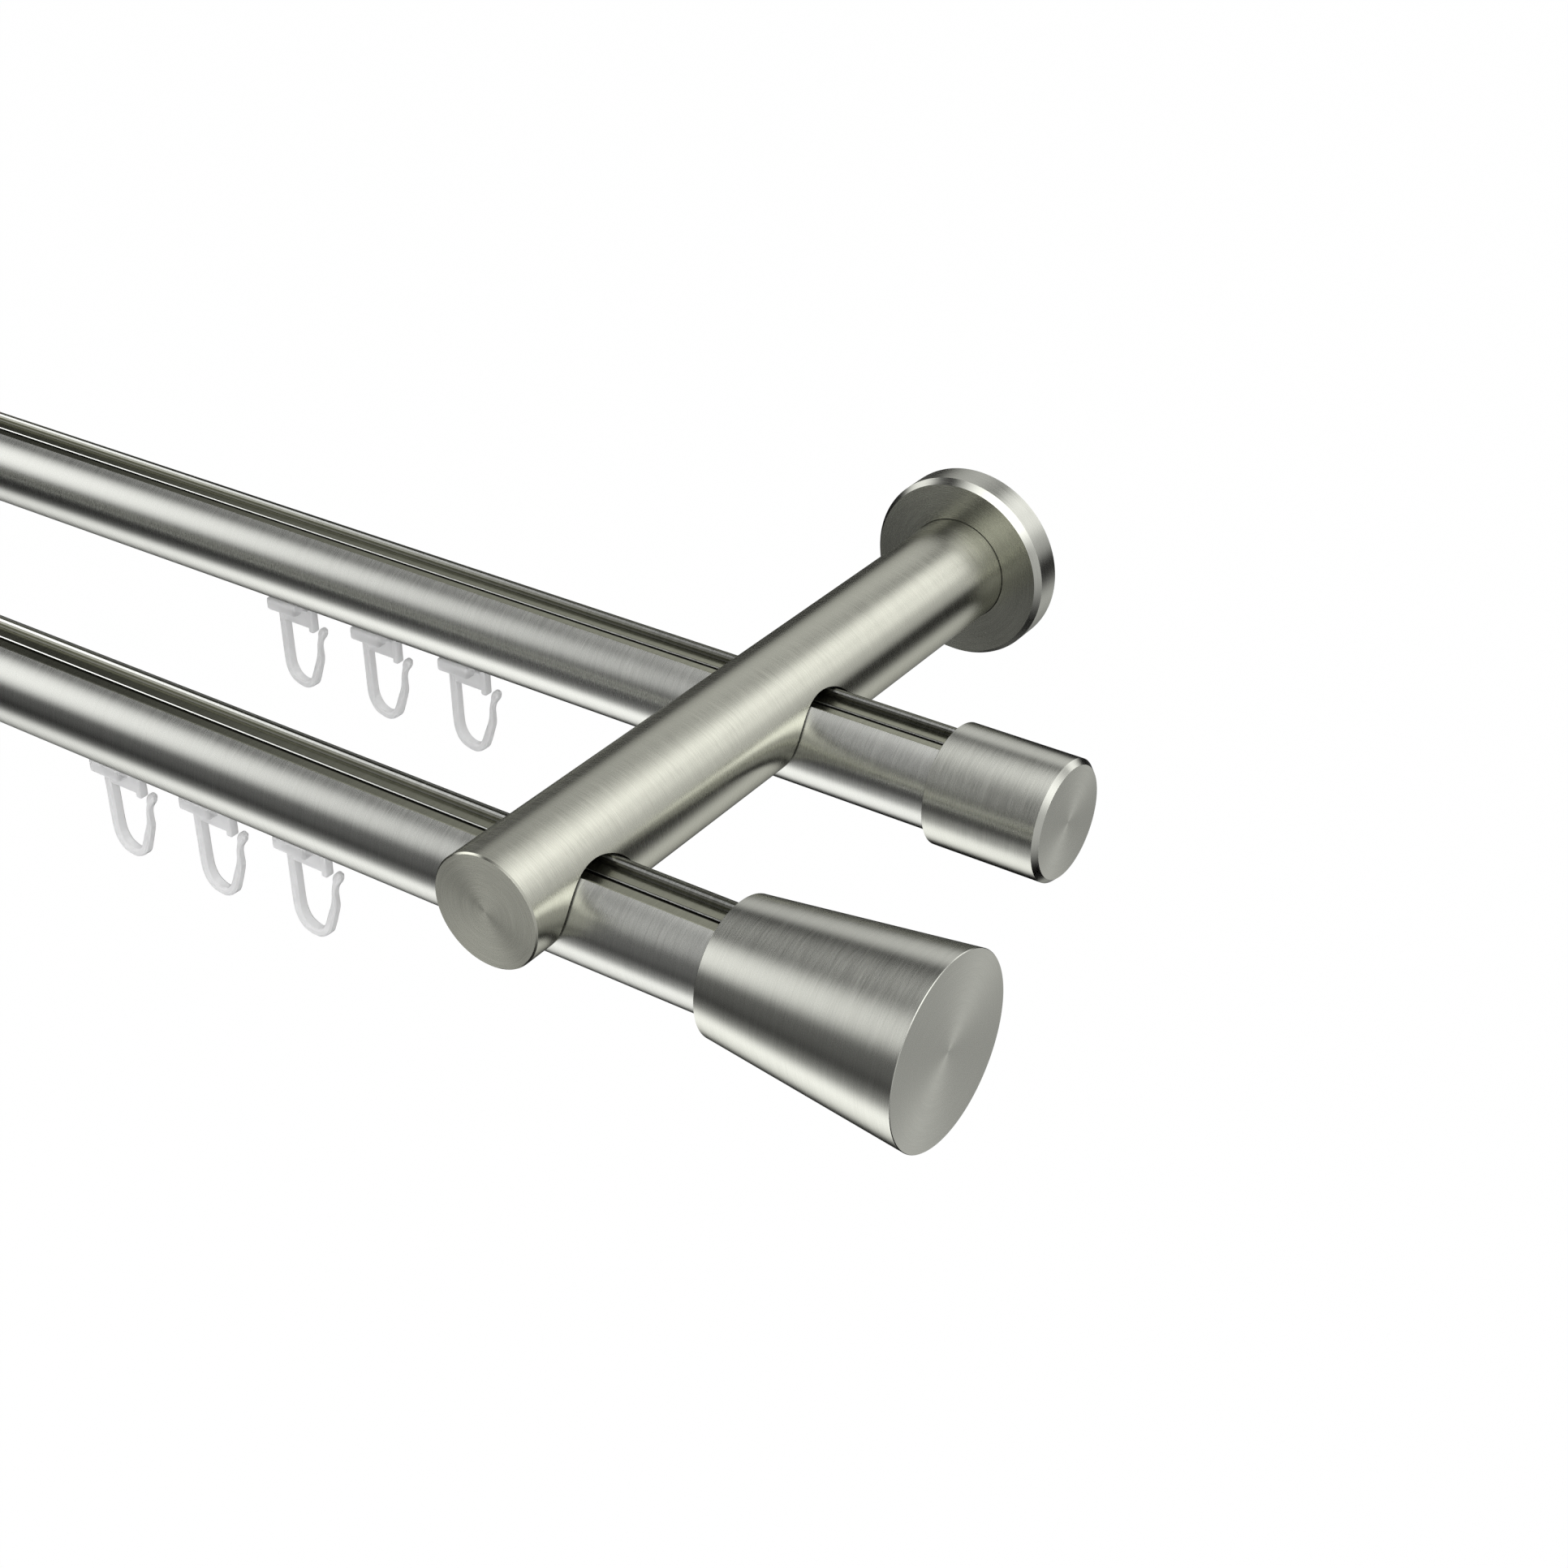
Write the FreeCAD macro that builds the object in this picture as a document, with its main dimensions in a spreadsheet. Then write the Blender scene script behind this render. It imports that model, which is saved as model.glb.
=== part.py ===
import FreeCAD, Part
import math
import os
import re

import Sketcher
from FreeCAD import Placement, Rotation, Vector

# Double curtain pole for a wall: two slotted poles, one in front of the other, carried by two
# arms. X runs along the poles, Y towards the wall and Z up. The origin is the centre of the
# right arm's wall end.

doc = FreeCAD.newDocument("double_curtain_pole")
sheet = doc.addObject("Spreadsheet::Sheet", "Sizes")

# Driving dimensions in millimetres and degrees

SIZES = (
    ("pole_radius", 10.0, "outside radius of both poles"),
    ("pole_length", 1000.0, "cut length of each pole"),
    ("lip_drop", 5.85, "pole axes down to the underside of the arm"),
    ("rear_pole_distance", 74.3, "wall to the rear pole axis"),
    ("pole_spacing", 70.0, "rear pole axis to front pole axis"),
    ("pole_overhang", 40.0, "arm axis to the inner end of a finial or cap"),
    ("groove_half_width", 3.25, "half width of the shallow groove on top of the pole"),
    ("groove_depth", 1.45, "lip of the top groove to its floor"),
    ("groove_flare", 1.0, "width of the flare from the groove wall to its lip"),
    ("centre_line_width", 1.2, "width of the fine centring line in the groove floor"),
    ("centre_line_depth", 0.6, "depth of the fine centring line"),
    ("skin", 1.4, "wall of the extruded pole"),
    ("slot_width", 5.0, "width of the runner slot along the underside"),
    ("rail_height", 3.0, "pole underside to the rails that the gliders hang on"),
    ("track_width", 11.0, "width of the inner runner track"),
    ("track_height", 3.2, "height of the inner runner track"),
    ("arm_radius", 11.25, "radius of the bracket arm"),
    ("arm_nose", 17.2, "front pole axis to the arm's front face"),
    ("arm_edge", 0.3, "chamfer round the arm's front face"),
    ("saddle_clearance", 0.4, "air round the pole in the arm's saddle"),
    ("thread_radius", 3.4, "tapped hole in the arm's wall end"),
    ("thread_depth", 30.0, "depth of that hole"),
    ("clamp_angle", 20.0, "slope of a pole clamping screw below the horizontal"),
    ("clamp_screw_radius", 1.5, "radius of the set screws that clamp the poles"),
    ("clamp_screw_length", 3.0, "length of those set screws"),
    ("screw_clearance", 0.05, "air round a set screw and under its tip"),
    ("flange_radius", 20.0, "outside radius of the wall flange"),
    ("flange_thickness", 7.3, "thickness of the wall flange"),
    ("flange_bevel_width", 1.0, "bevel round the front of the flange, measured on its face"),
    ("flange_bevel_depth", 1.5, "the same bevel, measured along the rim"),
    ("flange_recess_depth", 2.0, "shallow recess in the back of the flange"),
    ("flange_recess_radius", 16.5, "radius of that recess"),
    ("flange_clearance", 0.3, "air between the arm and the flange"),
    ("flange_screw_radius", 1.5, "radius of the flange's set screw"),
    ("flange_screw_length", 8.0, "length of the flange's set screw"),
    ("finial_length", 40.7, "length of the conical finial"),
    ("finial_small_radius", 12.95, "radius of the finial where the pole enters"),
    ("finial_large_radius", 17.5, "radius of the finial's flat end"),
    ("cap_length", 24.0, "length of the cylindrical cap"),
    ("cap_radius", 12.0, "radius of the cylindrical cap"),
    ("cap_bevel", 1.0, "chamfer round the cap's end"),
    ("socket_depth", 15.0, "how far the pole goes into a finial or cap"),
    ("socket_clearance", 0.1, "air between the pole and its finial or cap"),
    ("end_screw_radius", 1.5, "radius of the set screws in the finials and caps"),
    ("end_screw_length", 1.8, "length of those set screws"),
    ("end_screw_place", 7.5, "inner end of a finial or cap to its set screw"),
    ("glider_pitch", 25.0, "distance from one glider to the next"),
    ("rear_glider_place", -84.75, "right arm axis to the shank of the rear pole's last glider"),
    ("front_glider_place", -64.7, "right arm axis to the shank of the front pole's last glider"),
    ("glider_clearance", 0.3, "air between a glider and the pole"),
    ("head_length", 9.5, "length of the glider's head in the track"),
    ("head_height", 2.2, "height of that head"),
    ("neck_start", 0.6, "shank face to the start of the neck through the slot"),
    ("neck_length", 6.2, "length of the neck through the slot"),
    ("plate_length", 8.6, "length of the glider's plate under the pole"),
    ("plate_overlap", 1.1, "how far the plate reaches beyond the shank"),
    ("plate_width", 7.0, "width of the plate"),
    ("plate_gap", 0.6, "pole underside to the plate"),
    ("plate_bevel", 0.8, "bevel round the top of the plate"),
    ("plate_thickness", 2.8, "thickness of the plate"),
    ("plate_corner", 1.2, "corner cut off the plate's free end"),
    ("bar_width", 2.0, "width of the bar under the plate"),
    ("bar_drop", 3.1, "plate underside to the underside of the bar"),
    ("bar_length", 9.6, "length of the bar"),
    ("nose_thickness", 1.1, "thickness of the stop at the end of the bar"),
    ("nose_width", 2.6, "width of that stop"),
    ("nose_drop", 1.0, "underside of the bar to the tip of the stop"),
    ("hook_thickness", 1.75, "thickness of the hook in its own plane"),
    ("hook_width", 2.5, "width of the hook across its plane"),
    ("hook_edge", 0.25, "chamfer along the hook's edges"),
    ("hook_straight", 26.9, "pole axis to the lower end of the straight shank"),
    ("hook_near_radius", 4.9, "bend radius below the shank"),
    ("hook_far_radius", 3.0, "bend radius below the rising limb"),
    ("limb_slope", 70.0, "slope of the rising limb"),
    ("limb_length", 6.2, "length of the rising limb"),
    ("waist_slope", 86.0, "slope of the limb's upright stretch"),
    ("waist_length", 3.0, "length of that stretch, which ends at the waist"),
    ("waist_thickness", 0.9, "thickness of the limb at its waist"),
    ("waist_width", 1.5, "width of the limb at its waist"),
    ("neck_slope", 72.0, "slope of the limb from its waist to the rounded tip"),
    ("neck_reach", 3.1, "length of that stretch"),
    ("bulb_slope", 66.0, "slope of the rounded tip"),
    ("bulb_offset", 1.2, "end of the limb to the middle of the rounded tip"),
    ("bulb_radius", 0.85, "small radius of the rounded tip"),
    ("bulb_half_length", 1.75, "half length of the rounded tip"),
)

for row, (alias, value, note) in enumerate(SIZES, start=1):
    sheet.set(f"A{row}", alias)
    sheet.set(f"B{row}", str(value))
    sheet.set(f"C{row}", note)
    sheet.setAlias(f"B{row}", alias)
doc.recompute()

ALIASES = {alias for alias, _, _ in SIZES}
STEP_FOLDER = "parts"


# Helpers that bind geometry to the sheet


def cells(text):
    """Put the sheet's name before each alias in an expression."""
    def full_name(word):
        return "Sizes." + word[0] if word[0] in ALIASES else word[0]

    return re.sub(r"[a-z_]{3,}", full_name, str(text))


def size(text):
    """Value of an expression in the sheet's aliases."""
    return float(sheet.evalExpression(cells(text)))


def bind(thing, **expressions):
    """Bind properties of a feature to expressions; a dot is written as two underscores."""
    for name, text in expressions.items():
        thing.setExpression(name.replace("__", "."), cells(text))


def rebuild():
    """Recompute, and stop with the names of any features that fail."""
    doc.recompute()
    failed = [thing.Label for thing in doc.Objects if {"Invalid", "Error"} & set(thing.State)]
    if failed:
        raise RuntimeError("failed features: " + ", ".join(failed))


def new_body(label):
    body = doc.addObject("PartDesign::Body", label)
    body.Label = label
    return body


def place(body, x, y, z, turn=None):
    """Place a body by three expressions and a fixed rotation."""
    body.Placement = Placement(Vector(), turn or Rotation())
    bind(body, Placement__Base__x=x, Placement__Base__y=y, Placement__Base__z=z)


def origin_plane(body, role):
    return next(feature for feature in body.Origin.OriginFeatures if feature.Role == role)


def new_sketch(body, role, name, lift="0"):
    """A sketch on one of the body's origin planes, lifted along the plane's normal."""
    sketch = body.newObject("Sketcher::SketchObject", name)
    sketch.AttachmentSupport = [(origin_plane(body, role), "")]
    sketch.MapMode = "FlatFace"
    bind(sketch, AttachmentOffset__Base__z=lift)
    return sketch


def hold(sketch, kind, *arguments, text):
    """One dimension constraint whose value follows an expression."""
    index = sketch.addConstraint(Sketcher.Constraint(kind, *arguments, size(text)))
    sketch.setExpression(f"Constraints[{index}]", cells(text))


def pin(sketch, geometry, point, x, y):
    """Hold a point of the sketch at two expressions."""
    hold(sketch, "DistanceX", -1, 1, geometry, point, text=x)
    hold(sketch, "DistanceY", -1, 1, geometry, point, text=y)


def polygon(sketch, points):
    """A closed outline of straight lines, each corner held at its own expressions."""
    corners = [Vector(size(x), size(y), 0) for x, y in points]
    first = sketch.GeometryCount
    for start, end in zip(corners, corners[1:] + corners[:1]):
        sketch.addGeometry(Part.LineSegment(start, end))
    for step, (x, y) in enumerate(points):
        after = first + (step + 1) % len(points)
        sketch.addConstraint(Sketcher.Constraint("Coincident", first + step, 2, after, 1))
        pin(sketch, first + step, 1, x, y)


def circle(sketch, x, y, radius):
    index = sketch.addGeometry(Part.Circle(Vector(size(x), size(y), 0), Vector(0, 0, 1), size(radius)))
    pin(sketch, index, 3, x, y)
    hold(sketch, "Radius", index, text=radius)


def box_outline(sketch, x_low, x_high, y_low, y_high):
    polygon(sketch, ((x_low, y_low), (x_high, y_low), (x_high, y_high), (x_low, y_high)))


def pad(body, sketch, length, both_ways=False, taper="0"):
    feature = body.newObject("PartDesign::Pad", sketch.Name + "_pad")
    feature.Profile = sketch
    feature.SideType = "Symmetric" if both_ways else "One side"
    bind(feature, Length=length, TaperAngle=taper)
    return feature


def pocket(body, sketch, length=None, both_ways=False, reverse=False):
    """Cut a sketch away, to a depth or right through, and make sure that material goes."""
    rebuild()
    before = body.Shape.Volume
    feature = body.newObject("PartDesign::Pocket", sketch.Name + "_cut")
    feature.Profile = sketch
    feature.SideType = "Symmetric" if both_ways else "One side"
    feature.Reversed = reverse
    if length is None:
        feature.Type = "ThroughAll"
    else:
        bind(feature, Length=length)
    rebuild()
    if body.Shape.Volume > before - 1e-3:
        raise RuntimeError(f"{feature.Label} cuts nothing")
    return feature


def revolve(body, sketch, axis):
    feature = body.newObject("PartDesign::Revolution", sketch.Name + "_turn")
    feature.Profile = sketch
    feature.ReferenceAxis = (sketch, [axis])
    feature.Angle = 360.0
    return feature


def drill(body, name, radius, length, x, y, z, turn):
    """A round hole that starts at x, y, z and runs along the turned Z axis."""
    rebuild()
    before = body.Shape.Volume
    hole = body.newObject("PartDesign::SubtractiveCylinder", name)
    hole.AttachmentSupport = [(origin_plane(body, "XY_Plane"), "")]
    hole.MapMode = "FlatFace"
    hole.AttachmentOffset = Placement(Vector(), turn)
    bind(hole, Radius=radius, Height=length)
    bind(hole, AttachmentOffset__Base__x=x, AttachmentOffset__Base__y=y, AttachmentOffset__Base__z=z)
    rebuild()
    if body.Shape.Volume > before - 1e-3:
        raise RuntimeError(f"{name} cuts nothing")
    return hole


# Places and directions that several pieces share

POLE_HEIGHT = "(lip_drop - arm_radius)"
POLE_AXES = {
    "rear": "-rear_pole_distance",
    "front": "-rear_pole_distance - pole_spacing",
}
ARM_AXES = {"right": "0", "left": "2 * (pole_overhang + socket_depth) - pole_length"}
POLE_START = "pole_overhang + socket_depth - pole_length"
CLAMP_TURN = Rotation(Vector(1, 0, 0), -(90 + size("clamp_angle")))
END_SLOPE = 45.0


# Poles: an extruded tube with a shallow groove on top, a runner track and slot below


def build_pole(where):
    body = new_body(f"{where}_pole")
    outline = new_sketch(body, "YZ_Plane", f"{where}_pole_outline")
    circle(outline, "0", "0", "pole_radius")
    pad(body, outline, "pole_length")

    lip = "sqrt(pole_radius ^ 2 - (groove_half_width + groove_flare) ^ 2)"
    wide = "groove_half_width + groove_flare"
    floor = f"{lip} - groove_depth"
    bend = f"{lip} - groove_flare * 0.7"
    groove = new_sketch(body, "YZ_Plane", f"{where}_top_groove")
    half = "centre_line_width / 2"
    points = [(half, f"{floor} - centre_line_depth"), (half, floor), ("groove_half_width - 0.2", floor),
              ("groove_half_width", f"{floor} + 0.2"), ("groove_half_width", bend),
              ("groove_half_width + groove_flare * 0.25", f"{lip} - groove_flare * 0.32"),
              ("groove_half_width + groove_flare * 0.65", f"{lip} - groove_flare * 0.06"),
              (wide, lip), (wide, "pole_radius + 1")]
    mirrored = [(f"-({y})", z) for y, z in reversed(points)]
    polygon(groove, points + mirrored)
    pocket(body, groove, both_ways=True)

    rail = "-pole_radius + rail_height"
    ceiling = f"{rail} + track_height"
    track = new_sketch(body, "YZ_Plane", f"{where}_track")
    half_slot, half_track = "slot_width / 2", "track_width / 2"
    points = [(half_slot, "-pole_radius - 1"), (half_slot, rail), (half_track, rail), (half_track, ceiling)]
    mirrored = [(f"-({y})", z) for y, z in reversed(points)]
    polygon(track, points + mirrored)
    pocket(body, track, both_ways=True)

    low = f"{ceiling} + skin"
    high = f"{floor} - centre_line_depth - skin"
    hollow = new_sketch(body, "YZ_Plane", f"{where}_hollow")
    inner = size("pole_radius - skin")
    low_angle, high_angle = (math.asin(size(level) / inner) for level in (low, high))
    arcs = ((low_angle, high_angle), (math.pi - high_angle, math.pi - low_angle))
    full = Part.Circle(Vector(), Vector(0, 0, 1), inner)
    for start, end in arcs:
        hollow.addGeometry(Part.ArcOfCircle(full, start, end))
    ends = [[Vector(inner * math.cos(turn), inner * math.sin(turn), 0) for turn in arc] for arc in arcs]
    hollow.addGeometry(Part.LineSegment(ends[0][1], ends[1][0]))
    hollow.addGeometry(Part.LineSegment(ends[1][1], ends[0][0]))
    for arc in (0, 1):
        hollow.addConstraint(Sketcher.Constraint("Coincident", arc, 3, -1, 1))
        hold(hollow, "Radius", arc, text="pole_radius - skin")
    for first, first_end, second, second_end in ((0, 2, 2, 1), (2, 2, 1, 1), (1, 2, 3, 1), (3, 2, 0, 1)):
        hollow.addConstraint(Sketcher.Constraint("Coincident", first, first_end, second, second_end))
    for line, level in ((2, high), (3, low)):
        hollow.addConstraint(Sketcher.Constraint("Horizontal", line))
        hold(hollow, "DistanceY", -1, 1, line, 1, text=level)
    pocket(body, hollow, both_ways=True)
    place(body, POLE_START, POLE_AXES[where], POLE_HEIGHT)
    return body


# Bracket arms: a round bar with two saddles, open below so that the gliders pass under it


def build_arm(side):
    body = new_body(f"{side}_arm")
    outline = new_sketch(body, "XY_Plane", f"{side}_arm_outline")
    front = "-rear_pole_distance - pole_spacing - arm_nose"
    polygon(outline, (("0", front), ("arm_radius - arm_edge", front), ("arm_radius", f"{front} + arm_edge"),
                      ("arm_radius", "0"), ("thread_radius", "0"), ("thread_radius", "-thread_depth"),
                      ("0", "-thread_depth")))
    revolve(body, outline, "V_Axis")

    saddles = new_sketch(body, "YZ_Plane", f"{side}_saddles")
    for axis in POLE_AXES.values():
        circle(saddles, axis, POLE_HEIGHT, "pole_radius + saddle_clearance")
    pocket(body, saddles, both_ways=True)

    radius = "clamp_screw_radius + screw_clearance"
    for where, axis in POLE_AXES.items():
        drill(body, f"{side}_{where}_clamp_hole", radius, "arm_radius + pole_radius", "0",
              f"{axis} + pole_radius * cos(clamp_angle)",
              f"{POLE_HEIGHT} - pole_radius * sin(clamp_angle)", CLAMP_TURN)
    place(body, ARM_AXES[side], "0", "0")
    return body


# Wall flanges: a turned disc round the arm's root, held by one set screw from below

FLANGE_SCREW_PLACE = "-(flange_thickness - flange_bevel_depth + flange_recess_depth) / 2"


def build_flange(side):
    body = new_body(f"{side}_wall_flange")
    outline = new_sketch(body, "XY_Plane", f"{side}_flange_outline")
    bore = "arm_radius + flange_clearance"
    polygon(outline, ((bore, "-flange_thickness"),
                      ("flange_radius - flange_bevel_width", "-flange_thickness"),
                      ("flange_radius", "-flange_thickness + flange_bevel_depth"), ("flange_radius", "0"),
                      ("flange_recess_radius", "0"), ("flange_recess_radius", "-flange_recess_depth"),
                      (bore, "-flange_recess_depth")))
    revolve(body, outline, "V_Axis")
    drill(body, f"{side}_flange_screw_hole", "flange_screw_radius + screw_clearance", "flange_radius",
          "0", FLANGE_SCREW_PLACE, "0", Rotation(Vector(1, 0, 0), 180))
    place(body, ARM_AXES[side], "0", "0")
    return body


# Set screws: a rod with a cone tip and a hexagon socket; the tip is at the origin, the rod along Z


def build_screw(label, radius, length):
    body = new_body(label)
    outline = new_sketch(body, "XZ_Plane", f"{label}_outline")
    tip = f"{radius} * 0.5"
    polygon(outline, (("0", "0"), (tip, "0"), (radius, tip), (radius, length), ("0", length)))
    revolve(body, outline, "V_Axis")
    socket = new_sketch(body, "XY_Plane", f"{label}_socket", lift=length)
    corner = f"{radius} * 0.55"
    polygon(socket, [(f"{corner} * cos({turn})", f"{corner} * sin({turn})") for turn in range(0, 360, 60)])
    pocket(body, socket, f"{length} * 0.4")
    return body


# Finials and caps: turned pieces with a blind socket for the pole, x = 0 at their inner end


def build_end(label, outer_points, side):
    body = new_body(label)
    outline = new_sketch(body, "XY_Plane", f"{label}_outline")
    bore = "pole_radius + socket_clearance"
    polygon(outline, (("0", bore),) + outer_points + (("socket_depth", "0"), ("socket_depth", bore)))
    revolve(body, outline, "H_Axis")
    drill(body, f"{label}_screw_hole", "end_screw_radius + screw_clearance", "finial_large_radius",
          "end_screw_place", "0", "0", end_screw_turn("right" if side == "left" else "left"))
    return body


def end_screw_turn(side):
    """Direction of an end screw: down and towards the wall once the piece is on its pole."""
    slope = END_SLOPE if side == "right" else -END_SLOPE
    return Rotation(Vector(1, 0, 0), 180 - slope)


FINIAL_OUTLINE = (("0", "finial_small_radius"), ("finial_length", "finial_large_radius"),
                  ("finial_length", "0"))
CAP_OUTLINE = (("0", "cap_radius"), ("cap_length - cap_bevel", "cap_radius"),
               ("cap_length", "cap_radius - cap_bevel"), ("cap_length", "0"))
END_PIECES = {"front": ("finial", FINIAL_OUTLINE), "rear": ("cap", CAP_OUTLINE)}
END_PLACES = {"right": "pole_overhang", "left": "pole_overhang + 2 * socket_depth - pole_length"}


def build_pole_end(where, side):
    kind, points = END_PIECES[where]
    body = build_end(f"{side}_{where}_{kind}", points, side)
    turn = Rotation() if side == "right" else Rotation(Vector(0, 0, 1), 180)
    place(body, END_PLACES[side], POLE_AXES[where], POLE_HEIGHT, turn)

    reach = "(pole_radius + screw_clearance)"
    screw = build_screw(f"{side}_{where}_{kind}_screw", "end_screw_radius", "end_screw_length")
    inward = "+" if side == "right" else "-"
    place(screw, f"{END_PLACES[side]} {inward} end_screw_place",
          f"{POLE_AXES[where]} + {reach} * sin({END_SLOPE})", f"{POLE_HEIGHT} - {reach} * cos({END_SLOPE})",
          Rotation(Vector(1, 0, 0), 180 + END_SLOPE))


# Gliders: one moulded piece each, with a head in the track, a plate, a bar and a curtain hook.
# Z is measured from the pole's axis and x from the outer face of the shank.


def hook_path(body, label, start_height):
    """Centre line of the shank and the bend below it, up to the foot of the rising limb."""
    path = new_sketch(body, "XZ_Plane", f"{label}_path")
    middle = "hook_thickness / 2"
    straight = path.addGeometry(Part.LineSegment(Vector(size(middle), size(start_height), 0),
                                                 Vector(size(middle), -size("hook_straight"), 0)))
    pin(path, straight, 1, middle, start_height)
    pin(path, straight, 2, middle, "-hook_straight")

    before, point = straight, Vector(size(middle), -size("hook_straight"), 0)
    heading = -90.0
    for radius, slope in (("hook_near_radius", "0"), ("hook_far_radius", "limb_slope")):
        turn = size(slope) - heading
        side = Rotation(Vector(0, 0, 1), heading + 90).multVec(Vector(size(radius), 0, 0))
        halfway, end = (point + side - Rotation(Vector(0, 0, 1), angle).multVec(side)
                        for angle in (turn / 2, turn))
        bend = path.addGeometry(Part.Arc(point, halfway, end))
        path.addConstraint(Sketcher.Constraint("Tangent", before, 2, bend, 1))
        hold(path, "Radius", bend, text=radius)
        if slope == "0":
            path.addConstraint(Sketcher.Constraint("Vertical", bend, 3, bend, 2))
        before, point, heading = bend, end, size(slope)
    hold(path, "DistanceX", before, 3, before, 2, text="hook_far_radius * sin(limb_slope)")
    for axis, value in (("X", point.x), ("Y", point.y)):
        number = path.addConstraint(Sketcher.Constraint(f"Distance{axis}", -1, 1, before, 2, value))
        path.setDriving(number, False)
        path.renameConstraint(number, f"foot_{axis.lower()}")
    return path


def bar_section(sketch, middle, thickness, width):
    """Outline of the hook's rectangular section with its chamfered corners."""
    near, far = f"{middle} - {thickness} / 2", f"{middle} + {thickness} / 2"
    low, high, cut = f"-{width} / 2", f"{width} / 2", f"hook_edge * {thickness} / hook_thickness"
    polygon(sketch, ((f"{near} + {cut}", low), (f"{far} - {cut}", low), (far, f"{low} + {cut}"),
                     (far, f"{high} - {cut}"), (f"{far} - {cut}", high), (f"{near} + {cut}", high),
                     (near, f"{high} - {cut}"), (near, f"{low} + {cut}")))


def lean(thing, path, slope, along):
    """Put a sketch or shape on the limb: square to a slope, with offsets from the limb's foot."""
    thing.AttachmentOffset = Placement(Vector(), Rotation(Vector(0, 1, 0), 90 - size(slope)))
    across = " + ".join(["0"] + [f"{length} * cos({angle})" for length, angle in along])
    up = " + ".join(["0"] + [f"{length} * sin({angle})" for length, angle in along])
    foot = f"{path.Name}.Constraints.foot"
    thing.setExpression("AttachmentOffset.Base.x", f"{foot}_x + ({cells(across)}) * 1 mm")
    thing.setExpression("AttachmentOffset.Base.z", f"{foot}_y + ({cells(up)}) * 1 mm")


def build_hook(body, label, start_height):
    """Shank and bend of one section, then a limb that thins to a waist and ends in a rounded tip."""
    path = hook_path(body, label, start_height)
    section = new_sketch(body, "XY_Plane", f"{label}_section", lift=start_height)
    bar_section(section, "hook_thickness / 2", "hook_thickness", "hook_width")
    hook = body.newObject("PartDesign::AdditivePipe", f"{label}_hook")
    hook.Profile = section
    hook.Spine = (path, ["Edge1", "Edge2", "Edge3"])

    to_knee = (("limb_length", "limb_slope"),)
    to_waist = to_knee + (("waist_length", "waist_slope"),)
    to_end = to_waist + (("neck_reach", "neck_slope"),)
    to_bulb = to_end + (("bulb_offset", "bulb_slope"),)
    stations = (
        ("foot", "limb_slope", (), "hook_thickness", "hook_width"),
        ("knee", "(limb_slope + waist_slope) / 2", to_knee,
         "(hook_thickness + waist_thickness) / 2", "(hook_width + waist_width) / 2"),
        ("waist", "(waist_slope + neck_slope) / 2", to_waist, "waist_thickness", "waist_width"),
        ("end", "(neck_slope + bulb_slope) / 2", to_end, "bulb_radius * 1.2", "bulb_radius * 1.7"),
    )
    outlines = []
    for name, slope, along, thickness, width in stations:
        outline = new_sketch(body, "XY_Plane", f"{label}_{name}")
        lean(outline, path, slope, along)
        bar_section(outline, "0", thickness, width)
        outlines.append(outline)
    limb = body.newObject("PartDesign::AdditiveLoft", f"{label}_limb")
    limb.Profile = outlines[0]
    limb.Sections = outlines[1:]
    limb.Ruled = True

    bulb = body.newObject("PartDesign::AdditiveEllipsoid", f"{label}_bulb")
    bulb.AttachmentSupport = [(origin_plane(body, "XY_Plane"), "")]
    bulb.MapMode = "FlatFace"
    bulb.Angle1, bulb.Angle2 = -60, 65
    lean(bulb, path, "bulb_slope", to_bulb)
    bind(bulb, Radius1="bulb_half_length", Radius2="bulb_radius", Radius3="bulb_radius")


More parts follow.
